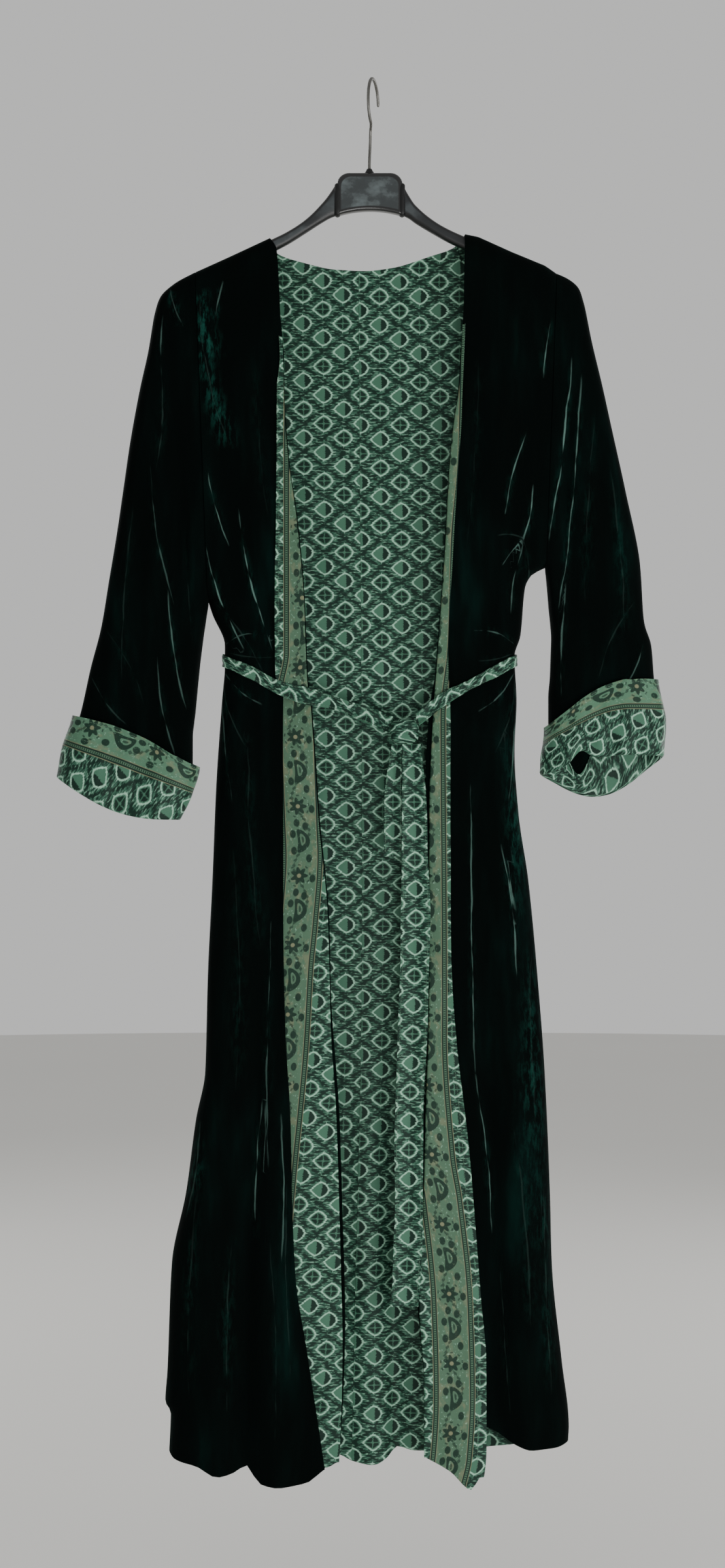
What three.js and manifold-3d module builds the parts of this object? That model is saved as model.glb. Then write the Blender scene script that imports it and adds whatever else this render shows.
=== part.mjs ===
// A kimono robe hung open on a suit hanger: velvet back, fronts and sleeves, a lined back,
// front facings turned outward, turned-back cuffs and a narrow tie belt knotted in front.
// Millimetres. +Z is up, the front faces -Y, and the wearer's right is on -X.
// The origin is under the hook's crown, where a rod or wall hook carries it.

import * as THREE from 'three';
import { mergeVertices } from 'three/addons/utils/BufferGeometryUtils.js';
import Module from 'manifold-3d';

const { clamp, lerp } = THREE.MathUtils;

// ---------------------------------------------------------------- driving sizes

const VELVET = 1.6; // wall of the pile cloth
const LINING = 1.2; // wall of the silk lining
const FACING = 1.4; // wall of the turned-out facing
const BELT = 1.8; // wall of the tie belt
const SEAM = 0.3; // gap where two pieces are sewn together
const LAYER = 0.5; // gap where one piece lies on another
const BELT_LAYER = 0.8; // gap under the belt
const ARMHOLE_GAP = 0.55; // the sleeve's first ring outside the body's edge

const SHOULDER_ROLL = 18; // drop in which the cloth turns over the shoulder line
const SIDE_ROLL = 25; // width in which a front turns round to the back at the side seam
const UNDERARM_ROLL = 15; // rise in which the armhole opens above the underarm
const UNDERARM_GAPE = 0.07; // how far front and back still part at the underarm point
const SLEEVE_ROLL = 26; // the same for the edges of a hanging sleeve

const FRONT = -1;
const BACK = 1;
const WEARER_RIGHT = -1;
const WEARER_LEFT = 1;

const ON_VELVET = VELVET / 2 + LAYER + FACING / 2; // mid facing above mid velvet
const UNDER_VELVET = VELVET / 2 + LAYER + LINING / 2; // mid lining inside mid velvet
const BELT_ON_VELVET = VELVET / 2 + BELT_LAYER + BELT / 2;
const BELT_ON_FACING = ON_VELVET + FACING / 2 + BELT_LAYER + BELT / 2;

// ---------------------------------------------------------------- outline tables

const shoulderLine = [
  { x: -189.7, z: -205.8 },
  { x: -152.6, z: -189.0 },
  { x: -110.6, z: -169.4 },
  { x: 98.0, z: -165.2 },
  { x: 112.0, z: -168.0 },
  { x: 147.7, z: -184.1 },
  { x: 183.4, z: -198.8 },
  { x: 195.3, z: -207.2 },
];

const neckline = [
  { x: -110.6, z: -169.4 },
  { x: -103.6, z: -182.0 },
  { x: -81.2, z: -190.4 },
  { x: -39.2, z: -199.5 },
  { x: -10.5, z: -200.9 },
  { x: 18.2, z: -198.1 },
  { x: 62.3, z: -184.8 },
  { x: 87.5, z: -175.7 },
  { x: 98.0, z: -165.2 },
];

const armholes = {
  [WEARER_RIGHT]: { topX: -189.7, topZ: -205.8, underarmX: -176.4, underarmZ: -555.8 },
  [WEARER_LEFT]: { topX: 195.3, topZ: -207.2, underarmX: 184.1, underarmZ: -520.8 },
};

const sideSeams = {
  [WEARER_RIGHT]: [
    { z: -555.8, x: -176.4 },
    { z: -571.2, x: -171.5 },
    { z: -604.8, x: -158.2 },
    { z: -626.5, x: -158.2 },
    { z: -662.2, x: -161.0 },
    { z: -753.2, x: -167.3 },
    { z: -856.1, x: -171.5 },
    { z: -958.3, x: -176.4 },
    { z: -1061.2, x: -179.2 },
    { z: -1112.3, x: -189.0 },
    { z: -1189.3, x: -199.5 },
    { z: -1266.3, x: -214.9 },
    { z: -1383.2, x: -219.8 },
    { z: -1413.3, x: -221.9 },
    { z: -1425.2, x: -216.0 },
    { z: -1466.5, x: -217.7 },
  ],
  [WEARER_LEFT]: [
    { z: -520.8, x: 184.1 },
    { z: -529.2, x: 168.7 },
    { z: -543.2, x: 161.7 },
    { z: -594.3, x: 156.8 },
    { z: -616.0, x: 150.5 },
    { z: -664.3, x: 152.6 },
    { z: -718.2, x: 150.5 },
    { z: -784.0, x: 154.7 },
    { z: -856.1, x: 165.2 },
    { z: -958.3, x: 175.0 },
    { z: -1061.2, x: 182.7 },
    { z: -1189.3, x: 188.3 },
    { z: -1266.3, x: 190.4 },
    { z: -1369.2, x: 200.9 },
    { z: -1441.3, x: 208.6 },
    { z: -1455.3, x: 207.9 },
  ],
};

// How far the hung cloth stands in front of and behind the hanger's plane.
const bodyDepth = [
  { z: -165, front: 15, back: 15 },
  { z: -420, front: 16, back: 13 },
  { z: -590, front: 15, back: 11 },
  { z: -645, front: 13, back: 10 },
  { z: -720, front: 16, back: 11 },
  { z: -1000, front: 19, back: 13 },
  { z: -1505, front: 22, back: 15 },
];

// The wearer's right front edge. `fold` is the edge turned outward. `lap` is where the facing's
// own edge lies on the velvet and, below the belt, the fold of the pleat that covers that edge.
// `tuck` is how far the pleat turns back behind itself, `open` its step (0 flat, 1 whole).
const rightEdge = [
  { z: -169.4, fold: -110.6, lap: -122.0, tuck: 1.5, open: 0 },
  { z: -184.1, fold: -102.9, lap: -116.0, tuck: 1.5, open: 0 },
  { z: -263.9, fold: -98.7, lap: -101.5, tuck: 1.5, open: 0 },
  { z: -298.2, fold: -97.3, lap: -99.6, tuck: 1.5, open: 0 },
  { z: -333.2, fold: -97.0, lap: -102.9, tuck: 1.5, open: 0 },
  { z: -403.2, fold: -92.4, lap: -102.9, tuck: 1.5, open: 0 },
  { z: -474.6, fold: -82.6, lap: -104.0, tuck: 1.5, open: 0 },
  { z: -555.1, fold: -75.6, lap: -105.0, tuck: 1.5, open: 0 },
  { z: -641.0, fold: -72.1, lap: -104.3, tuck: 1.5, open: 0 },
  { z: -646.0, fold: -71.7, lap: -96.5, tuck: 1.5, open: 0 },
  { z: -660.0, fold: -69.2, lap: -96.8, tuck: 1.5, open: 1 },
  { z: -700.0, fold: -66.0, lap: -97.0, tuck: 18.0, open: 1 },
  { z: -788.2, fold: -60.2, lap: -96.8, tuck: 18.0, open: 1 },
  { z: -900.2, fold: -49.7, lap: -96.6, tuck: 18.0, open: 1 },
  { z: -1012.2, fold: -46.9, lap: -94.5, tuck: 18.0, open: 1 },
  { z: -1112.3, fold: -40.6, lap: -88.9, tuck: 18.0, open: 1 },
  { z: -1208.2, fold: -37.8, lap: -86.8, tuck: 18.0, open: 1 },
  { z: -1278.2, fold: -35.7, lap: -83.3, tuck: 18.0, open: 1 },
  { z: -1348.2, fold: -34.3, lap: -70.7, tuck: 18.0, open: 1 },
  { z: -1411.2, fold: -35.5, lap: -60.2, tuck: 18.0, open: 1 },
  { z: -1480.0, fold: -38.5, lap: -50.4, tuck: 18.0, open: 1 },
];
const FACING_TOP = { [WEARER_RIGHT]: -275, [WEARER_LEFT]: -263 };

const leftEdge = [
  { z: -165.2, fold: 98.0, free: 100.0 },
  { z: -184.1, fold: 97.3, free: 99.3 },
  { z: -263.2, fold: 95.9, free: 97.9 },
  { z: -333.2, fold: 92.4, free: 95.0 },
  { z: -366.1, fold: 87.5, free: 93.8 },
  { z: -416.5, fold: 82.5, free: 90.3 },
  { z: -508.2, fold: 77.5, free: 84.7 },
  { z: -613.2, fold: 70.0, free: 79.8 },
  { z: -683.2, fold: 65.1, free: 81.9 },
  { z: -788.2, fold: 60.9, free: 82.0 },
  { z: -928.2, fold: 60.9, free: 82.6 },
  { z: -1033.2, fold: 59.5, free: 88.9 },
  { z: -1113.7, fold: 56.7, free: 98.7 },
  { z: -1173.2, fold: 55.3, free: 104.5 },
  { z: -1266.3, fold: 49.6, free: 111.3 },
  { z: -1313.2, fold: 50.4, free: 114.8 },
  { z: -1383.2, fold: 55.3, free: 119.3 },
  { z: -1430.8, fold: 55.3, free: 119.7 },
  { z: -1485.0, fold: 55.3, free: 111.5 },
];

const PLEAT_TURN = 1.3; // radius of the pleat's outer turn
const PLEAT_ROOT = 2.2; // radius of its inner turn, round the facing's free edge
const PLEAT_STEP = 2 * (PLEAT_TURN + PLEAT_ROOT);

const hems = {
  right: [
    { x: -217.7, z: -1466.5 },
    { x: -212.1, z: -1472.1 },
    { x: -187.6, z: -1478.4 },
    { x: -165.9, z: -1488.9 },
    { x: -149.1, z: -1485.4 },
    { x: -134.0, z: -1478.4 },
    { x: -126.0, z: -1490.3 },
    { x: -118.3, z: -1498.0 },
    { x: -100.8, z: -1500.8 },
    { x: -72.1, z: -1496.6 },
    { x: -51.8, z: -1482.0 },
    { x: -38.5, z: -1475.6 },
  ],
  left: [
    { x: 55.0, z: -1463.0 },
    { x: 80.0, z: -1474.0 },
    { x: 103.0, z: -1484.0 },
    { x: 116.9, z: -1437.0 },
    { x: 132.3, z: -1443.4 },
    { x: 152.6, z: -1456.0 },
    { x: 168.7, z: -1460.9 },
    { x: 193.2, z: -1459.5 },
    { x: 207.9, z: -1455.3 },
  ],
  back: [
    { x: -217.7, z: -1466.5 },
    { x: -120.0, z: -1474.0 },
    { x: -38.5, z: -1474.9 },
    { x: -21.7, z: -1481.9 },
    { x: 0.0, z: -1485.4 },
    { x: 11.9, z: -1480.5 },
    { x: 26.6, z: -1467.2 },
    { x: 43.4, z: -1470.7 },
    { x: 100.0, z: -1468.0 },
    { x: 207.9, z: -1455.3 },
  ],
  reversRight: [
    { x: -67.0, z: -1480.0 },
    { x: -50.4, z: -1481.0 },
    { x: -38.5, z: -1475.5 },
  ],
  reversLeft: [
    { x: 55.3, z: -1468.6 },
    { x: 82.0, z: -1484.0 },
    { x: 104.0, z: -1503.0 },
    { x: 111.5, z: -1490.0 },
  ],
};

// Long soft folds: a ridge (lift above 0) or trough (below 0) along a bowed line.
// `reach` says whether the fold runs off the lower edge (1) or dies out before it (0).
const folds = {
  frontRight: [
    { fromX: -102, fromZ: -740, toX: -140, toZ: -1478, bow: -6, width: 11, lift: -5, reach: 1 },
    { fromX: -176, fromZ: -1000, toX: -166, toZ: -1489, bow: -10, width: 20, lift: 7, reach: 1 },
    { fromX: -106, fromZ: -1060, toX: -103, toZ: -1500, bow: -8, width: 15, lift: 5, reach: 1 },
    { fromX: -150, fromZ: -250, toX: -118, toZ: -600, bow: 6, width: 14, lift: 3, reach: 0 },
  ],
  frontLeft: [
    { fromX: 128, fromZ: -760, toX: 164, toZ: -1461, bow: 6, width: 15, lift: 5, reach: 1 },
    { fromX: 104, fromZ: -753, toX: 130, toZ: -1445, bow: 4, width: 11, lift: -4, reach: 1 },
    { fromX: 150, fromZ: -240, toX: 116, toZ: -600, bow: -5, width: 14, lift: 3, reach: 0 },
  ],
  back: [
    { fromX: 24, fromZ: -760, toX: 26, toZ: -1470, bow: -6, width: 11, lift: 5, reach: 1 },
    { fromX: -12, fromZ: -1000, toX: -2, toZ: -1485, bow: 0, width: 16, lift: -5, reach: 1 },
    { fromX: 64, fromZ: -900, toX: 74, toZ: -1470, bow: 0, width: 18, lift: -4, reach: 1 },
    { fromX: -90, fromZ: -800, toX: -110, toZ: -1474, bow: 0, width: 24, lift: -5, reach: 1 },
    { fromX: 130, fromZ: -800, toX: 150, toZ: -1464, bow: 0, width: 24, lift: -5, reach: 1 },
  ],
  sleeveRight: [
    { fromX: -232, fromZ: -300, toX: -250, toZ: -680, bow: 8, width: 12, lift: 4, reach: 0 },
    { fromX: -206, fromZ: -330, toX: -216, toZ: -690, bow: 4, width: 9, lift: -4, reach: 0 },
  ],
  sleeveLeft: [
    { fromX: 224, fromZ: -300, toX: 250, toZ: -650, bow: -8, width: 12, lift: 4, reach: 0 },
    { fromX: 206, fromZ: -300, toX: 214, toZ: -640, bow: -4, width: 9, lift: -4, reach: 0 },
  ],
};

// Each sleeve hangs from its armhole as a flattened tube. A row is one section across it, from
// its outer edge to its inner edge; `bow` lifts the middle of the section, in front and behind.
const sleeves = {
  [WEARER_RIGHT]: [
    { outX: -189.7, outZ: -205.8, inX: -176.4, inZ: -555.8, depth: 15, bowF: 0, bowB: 0 },
    { outX: -212.1, outZ: -217.7, inX: -177.6, inZ: -564.2, depth: 15, bowF: 0, bowB: 0 },
    { outX: -227.5, outZ: -232.4, inX: -179.0, inZ: -573.3, depth: 15, bowF: 0, bowB: 0 },
    { outX: -233.1, outZ: -249.2, inX: -180.4, inZ: -583.1, depth: 15, bowF: 0, bowB: 0 },
    { outX: -240.1, outZ: -289.8, inX: -182.0, inZ: -593.6, depth: 15, bowF: 0, bowB: 0 },
    { outX: -249.2, outZ: -331.1, inX: -183.8, inZ: -607.6, depth: 15, bowF: 0, bowB: 0 },
    { outX: -259.7, outZ: -388.5, inX: -185.8, inZ: -623.7, depth: 15, bowF: 0, bowB: 0 },
    { outX: -266.7, outZ: -436.8, inX: -187.6, inZ: -641.2, depth: 15, bowF: 0, bowB: 0 },
    { outX: -273.7, outZ: -484.4, inX: -189.3, inZ: -658.7, depth: 15, bowF: 0, bowB: 0 },
    { outX: -282.1, outZ: -534.8, inX: -190.8, inZ: -674.8, depth: 15, bowF: 0, bowB: 0 },
    { outX: -290.5, outZ: -585.2, inX: -192.5, inZ: -688.8, depth: 15, bowF: 2, bowB: 2 },
    { outX: -301.7, outZ: -628.6, inX: -193.9, inZ: -702.8, depth: 15, bowF: 5, bowB: 5 },
    { outX: -314.0, outZ: -682.0, inX: -194.0, inZ: -735.0, depth: 15, bowF: 9, bowB: 9 },
    { outX: -326.5, outZ: -714.0, inX: -199.0, inZ: -762.0, depth: 17, bowF: 0, bowB: 0 },
    { outX: -336.5, outZ: -744.5, inX: -209.0, inZ: -789.0, depth: 19, bowF: -14, bowB: -14 },
  ],
  [WEARER_LEFT]: [
    { outX: 195.3, outZ: -207.2, inX: 184.1, inZ: -520.8, depth: 15, bowF: 0, bowB: 0 },
    { outX: 207.9, outZ: -212.8, inX: 185.2, inZ: -528.5, depth: 15, bowF: 0, bowB: 0 },
    { outX: 219.1, outZ: -222.6, inX: 186.0, inZ: -536.5, depth: 15, bowF: 0, bowB: 0 },
    { outX: 224.7, outZ: -238.7, inX: 186.8, inZ: -545.5, depth: 15, bowF: 0, bowB: 0 },
    { outX: 233.1, outZ: -279.3, inX: 187.6, inZ: -555.5, depth: 15, bowF: 0, bowB: 0 },
    { outX: 244.3, outZ: -326.2, inX: 188.6, inZ: -567.5, depth: 15, bowF: 0, bowB: 0 },
    { outX: 254.8, outZ: -373.8, inX: 190.0, inZ: -581.5, depth: 15, bowF: 0, bowB: 0 },
    { outX: 269.5, outZ: -440.3, inX: 191.1, inZ: -597.0, depth: 15, bowF: 0, bowB: 0 },
    { outX: 284.9, outZ: -518.0, inX: 190.6, inZ: -614.0, depth: 15, bowF: 0, bowB: 0 },
    { outX: 289.1, outZ: -578.2, inX: 189.7, inZ: -639.1, depth: 15, bowF: 4, bowB: 4 },
    { outX: 297.0, outZ: -606.0, inX: 188.0, inZ: -662.0, depth: 15, bowF: 10, bowB: 6 },
    { outX: 300.0, outZ: -642.0, inX: 188.0, inZ: -693.0, depth: 16, bowF: 18, bowB: 6 },
    { outX: 306.0, outZ: -683.0, inX: 185.0, inZ: -714.0, depth: 18, bowF: 14, bowB: -14 },
    { outX: 309.0, outZ: -721.0, inX: 182.5, inZ: -733.0, depth: 19, bowF: 9, bowB: -38 },
  ],
};

// A cuff is turned back over the sleeve's end. Heights are rows of the sleeve's table.
const cuffs = {
  [WEARER_RIGHT]: { top: 12, end: 14, standOff: 8 },
  [WEARER_LEFT]: { top: 11, end: 13, standOff: 5 },
};
const CUFF_REACHES = [0.35, 1.2]; // rows that the cuff's inside runs back up the sleeve
const CUFF_RINGS = 4; // steps down the cuff's outside
const CUFF_LIP = [0.8, 1.15, 0.8]; // the lip's turn round the sleeve's end, in wall offsets

// The belt's route over the front, and its height there; past the fronts it hangs free.
const beltRight = [
  { x: -162.0, z: -620.0, width: 12 },
  { x: -130.9, z: -634.2, width: 13 },
  { x: -100.0, z: -650.8, width: 17 },
  { x: -70.0, z: -659.8, width: 17 },
  { x: -50.4, z: -664.5, width: 16 },
  { x: -10.5, z: -678.5, width: 16 },
  { x: 18.0, z: -690.0, width: 17 },
];
const beltLeft = [
  { x: 152.0, z: -620.0, width: 12 },
  { x: 136.5, z: -629.0, width: 12 },
  { x: 103.6, z: -647.0, width: 13 },
  { x: 73.0, z: -664.3, width: 14 },
  { x: 48.0, z: -684.0, width: 15 },
];
const BELT_SAG = 8; // the belt's drop across the back
const knot = { x: 33, y: -21, z: -697.5, width: 29, depth: 17, height: 26 };
const KNOT_BOXINESS = 3; // exponent of its rounded-box outline

const tailLong = [
  { z: -711.0, x: 41.0, y: -21.5, width: 24 },
  { z: -760.0, x: 42.0, y: -24.0, width: 31 },
  { z: -816.2, x: 42.7, y: -25.0, width: 33 },
  { z: -900.2, x: 46.0, y: -25.5, width: 33 },
  { z: -1005.2, x: 44.8, y: -26.0, width: 33 },
  { z: -1112.3, x: 41.3, y: -26.5, width: 33 },
  { z: -1205.4, x: 38.5, y: -27.0, width: 32 },
  { z: -1307.6, x: 32.9, y: -27.0, width: 31 },
];
const tailShort = [
  { z: -711.0, x: 25.5, y: -18.5, width: 12 },
  { z: -767.2, x: 20.3, y: -19.0, width: 18 },
  { z: -800.0, x: 19.6, y: -19.5, width: 19 },
  { z: -830.2, x: 19.0, y: -20.0, width: 19 },
];

// The hanger: a moulded block, two arms and a wire hook.
const block = { left: 31.5, right: -39.0, top: -99.4, bottom: -145.0, arch: -139.5, depth: 14 };
const BLOCK_CORNER = 9;
const arms = {
  [WEARER_RIGHT]: [
    { x: -39.4, top: -109.5, bottom: -144.5, depth: 12 },
    { x: -46.0, top: -120.0, bottom: -147.0, depth: 12 },
    { x: -53.2, top: -129.5, bottom: -151.0, depth: 12 },
    { x: -72.8, top: -149.1, bottom: -163.5, depth: 13 },
    { x: -92.0, top: -161.8, bottom: -175.5, depth: 13 },
    { x: -110.6, top: -171.0, bottom: -185.0, depth: 13 },
  ],
  [WEARER_LEFT]: [
    { x: 31.9, top: -112.0, bottom: -144.5, depth: 12 },
    { x: 38.0, top: -123.0, bottom: -147.5, depth: 12 },
    { x: 44.8, top: -133.0, bottom: -152.5, depth: 12 },
    { x: 66.5, top: -151.2, bottom: -165.5, depth: 13 },
    { x: 82.0, top: -160.0, bottom: -174.0, depth: 13 },
    { x: 98.0, top: -167.2, bottom: -181.0, depth: 13 },
  ],
};
const ARM_UNDER_CLOTH = VELVET / 2 + 0.8; // arm's top below the shoulder's mid wall
const ARM_HEIGHT = 14.5;
const ARM_DEPTH = 13;
const ARM_ENDS = { [WEARER_RIGHT]: -187, [WEARER_LEFT]: 193 };

const WIRE = 3.4; // diameter of the hook's wire
const HOOK_RADIUS = 26.5; // of the wire's middle
const HOOK_TURN = 78; // degrees from the hanger's plane
const HOOK_START = -118; // degrees at which the round hook leaves the shank
const HOOK_SWEEP = 235; // degrees from there over the crown to the free tip
const HOOK_ARCS = 12;
const SHANK_X = -4.2;
const SHANK_SINK = 14; // how deep the shank sits in the block
const SHANK_RISE = 12; // straight wire above the block
const SHANK_BEND = [{ lean: 0, below: 15, shift: 0.8 }, { lean: -4, below: 2, shift: 0.5 }];
const COLLAR = { radius: 5.5, height: 5, sunk: 2 };

// ---------------------------------------------------------------- reading the tables

// One column of a table at a place, along a smooth curve that never overshoots its rows.
function along(table, by, at, column) {
  const direction = Math.sign(table[1][by] - table[0][by]);
  let k = 0;
  while (k < table.length - 2 && direction * (at - table[k + 1][by]) > 0) {
    k += 1;
  }
  const slope = (i) => (table[i + 1][column] - table[i][column]) / (table[i + 1][by] - table[i][by]);
  const tangent = (i) => {
    const before = slope(Math.max(i - 1, 0));
    const after = slope(Math.min(i, table.length - 2));
    return before * after > 0 ? (2 * before * after) / (before + after) : 0;
  };
  const width = table[k + 1][by] - table[k][by];
  const t = clamp((at - table[k][by]) / width, 0, 1);
  const start = table[k][column];
  const rise = table[k + 1][column] - start;
  const bend = tangent(k) * width * t * (1 - t) ** 2 - tangent(k + 1) * width * t * t * (1 - t);
  return start + rise * t * t * (3 - 2 * t) + bend;
}

const smooth = (t) => clamp(t, 0, 1) ** 2 * (3 - 2 * clamp(t, 0, 1));

// A quarter ellipse: 0 at an edge, 1 once the cloth has turned into its flat.
const roll = (t) => Math.sqrt(1 - (1 - clamp(t, 0, 1)) ** 2);

// Distances from an edge at which a roll is cut into equal turns.
function rollStops(width, turns) {
  return Array.from({ length: turns + 1 }, (_, k) => width * (1 - Math.cos((k / turns) * (Math.PI / 2))));
}

// Even steps from one value to another, with both ends.
function spread(from, to, steps) {
  return Array.from({ length: steps + 1 }, (_, k) => lerp(from, to, k / steps));
}

// The shoulder line is straight between its points, and level across the neck.
function shoulderZ(x) {
  const after = shoulderLine.findIndex((point) => point.x > x);
  const next = after < 0 ? shoulderLine.length - 1 : Math.max(after, 1);
  const [from, to] = [shoulderLine[next - 1], shoulderLine[next]];
  return lerp(from.z, to.z, clamp((x - from.x) / (to.x - from.x), 0, 1));
}

// Whole numbers from one to another, with both ends.
function range(from, to) {
  return Array.from({ length: to - from + 1 }, (_, k) => from + k);
}

function foldLift(list, x, z) {
  return list.reduce((sum, fold) => {
    const t = (z - fold.fromZ) / (fold.toZ - fold.fromZ);
    if (t <= 0) {
      return sum;
    }
    const centre = lerp(fold.fromX, fold.toX, t) + fold.bow * Math.sin(Math.PI * clamp(t, 0, 1));
    const fade = fold.reach ? smooth(t * 1.6) : Math.sin(Math.PI * clamp(t, 0, 1)) ** 2;
    return sum + fold.lift * fade * Math.exp(-(((x - centre) / fold.width) ** 2));
  }, 0);
}

// ---------------------------------------------------------------- the body's surfaces

function sideX(side, z) {
  const hole = armholes[side];
  if (z > hole.underarmZ) {
    return lerp(hole.underarmX, hole.topX, (z - hole.underarmZ) / (hole.topZ - hole.underarmZ));
  }
  return along(sideSeams[side], 'z', z, 'x');
}

// How far the side is held open at a height: 1 up the armhole, 0 at the side seam.
function armholeOpen(side, z) {
  const rise = z - armholes[side].underarmZ;
  return rise < -SEAM ? 0 : Math.max(roll(rise / UNDERARM_ROLL), UNDERARM_GAPE);
}

function bodyY(face, x, z) {
  const side = x < 0 ? WEARER_RIGHT : WEARER_LEFT;
  const inset = side * (sideX(side, z) - x);
  const atSide = roll(inset / SIDE_ROLL);
  const atShoulder = roll((shoulderZ(x) - z) / SHOULDER_ROLL);
  const depth = along(bodyDepth, 'z', z, face === FRONT ? 'front' : 'back');
  const list = face === BACK ? folds.back : side === WEARER_RIGHT ? folds.frontRight : folds.frontLeft;
  const flat = depth * atShoulder * lerp(atSide, 1, armholeOpen(side, z));
  return face * (SEAM / 2 + flat + foldLift(list, x, z) * atSide * atShoulder);
}

// A point on the front or back, moved out along the cloth's normal (in when `off` is below 0).
function onBody(face, x, z, off) {
  const side = x < 0 ? WEARER_RIGHT : WEARER_LEFT;
  const inset = side * (sideX(side, z) - x);
  const y = bodyY(face, x, z);
  if (inset < 0.01 && z < armholes[side].underarmZ) {
    return new THREE.Vector3(x + side * off, y, z);
  }
  const h = Math.min(0.5, Math.max(inset / 2, 0.01));
  const dx = (bodyY(face, x + h, z) - bodyY(face, x - h, z)) / (2 * h);
  const dz = (bodyY(face, x, z + h) - bodyY(face, x, z - h)) / (2 * h);
  const normal = new THREE.Vector3(-dx, 1, -dz).normalize().multiplyScalar(face);
  return new THREE.Vector3(x, y, z).addScaledVector(normal, off);
}

// ---------------------------------------------------------------- building walls

// The normal at each point of a grid, from its neighbours. A flat edge keeps its end face in
// the seam's plane: `flatEdge(i, j)` names the axis that the normal has no part of there.
function gridNormals(grid, closed, flatEdge) {
  const rows = grid.length;
  const columns = grid[0].length;
  const column = (i) => (closed ? (i + columns) % columns : clamp(i, 0, columns - 1));
  return grid.map((row, j) =>
    row.map((_, i) => {
      const across = new THREE.Vector3().subVectors(row[column(i + 1)], row[column(i - 1)]);
      const up = grid[Math.max(j - 1, 0)][i];
      const down = grid[Math.min(j + 1, rows - 1)][i];
      const normal = new THREE.Vector3().subVectors(down, up).cross(across);
      const axis = flatEdge(i, j);
      if (axis) {
        normal[axis] = 0;
      }
      return normal.normalize();
    }),
  );
}

// A closed wall of cloth through a grid of mid points (rows from top to bottom).
function wall(grid, thickness, { closed = false, flatEdge = () => null } = {}) {
  const rows = grid.length;
  const columns = grid[0].length;
  const normals = gridNormals(grid, closed, flatEdge);
  const positions = [];
  [1, -1].forEach((face) => {
    grid.forEach((row, j) => {
      row.forEach((point, i) => {
        const out = point.clone().addScaledVector(normals[j][i], (face * thickness) / 2);
        positions.push(out.x, out.y, out.z);
      });
    });
  });
  const at = (face, j, i) => face * rows * columns + j * columns + (closed ? i % columns : i);
  const index = [];
  const quad = (a, b, c, d) => index.push(a, b, c, a, c, d);
  const spans = closed ? columns : columns - 1;
  for (let j = 0; j < rows - 1; j += 1) {
    for (let i = 0; i < spans; i += 1) {
      quad(at(0, j, i), at(0, j + 1, i), at(0, j + 1, i + 1), at(0, j, i + 1));
      quad(at(1, j, i), at(1, j, i + 1), at(1, j + 1, i + 1), at(1, j + 1, i));
    }
  }
  for (let i = 0; i < spans; i += 1) {
    quad(at(0, 0, i + 1), at(1, 0, i + 1), at(1, 0, i), at(0, 0, i));
    quad(at(0, rows - 1, i), at(1, rows - 1, i), at(1, rows - 1, i + 1), at(0, rows - 1, i + 1));
  }
  if (!closed) {
    for (let j = 0; j < rows - 1; j += 1) {
      quad(at(0, j, 0), at(1, j, 0), at(1, j + 1, 0), at(0, j + 1, 0));
      const last = columns - 1;
      quad(at(0, j + 1, last), at(1, j + 1, last), at(1, j, last), at(0, j, last));
    }
  }
  return outward(positions, index);
}

// The middle of a ring of points.
const middle = (ring) =>
  ring.reduce((sum, p) => sum.add(p), new THREE.Vector3()).divideScalar(ring.length);

// A closed solid through rings of points, capped at both ends.
function loft(rings) {
  const count = rings[0].length;
  const positions = rings.flat().flatMap((p) => [p.x, p.y, p.z]);
  const index = [];
  for (let j = 0; j < rings.length - 1; j += 1) {
    for (let i = 0; i < count; i += 1) {
      const next = (i + 1) % count;
      const a = j * count;
      const b = (j + 1) * count;
      index.push(a + i, b + i, b + next, a + i, b + next, a + next);
    }
  }
  [0, rings.length - 1].forEach((j) => {
    const centre = positions.length / 3;
    positions.push(...middle(rings[j]).toArray());
    for (let i = 0; i < count; i += 1) {
      const a = j * count + i;
      const b = j * count + ((i + 1) % count);
      index.push(...(j === 0 ? [centre, a, b] : [centre, b, a]));
    }
  });
  return outward(positions, index);
}

// A geometry whose faces point out, whichever way its grid ran.
function outward(positions, index) {
  let volume = 0;
  const corner = (k) => new THREE.Vector3().fromArray(positions, 3 * k);
  for (let k = 0; k < index.length; k += 3) {
    const [a, b, c] = [corner(index[k]), corner(index[k + 1]), corner(index[k + 2])];
    volume += a.dot(b.cross(c));
  }
  const ordered = volume > 0 ? index : index.slice().reverse();
  const geometry = new THREE.BufferGeometry();
  geometry.setAttribute('position', new THREE.Float32BufferAttribute(positions, 3));
  geometry.setIndex(ordered);
  geometry.computeVertexNormals();
  return geometry;
}

// ---------------------------------------------------------------- rows of the body

const CHEST_ROWS = 4;
const HIP_TOP = -600; // below here the rows of both sides are level
const HEM_SPREAD = 220; // height over which the hem's waves fade out
const NECK_SPREAD = 240; // height over which the neck's slope fades out
const beltRows = [-615, -628, -641, -646, -653, -660, -675, -700];
const SKIRT_ROWS = 10;

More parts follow.
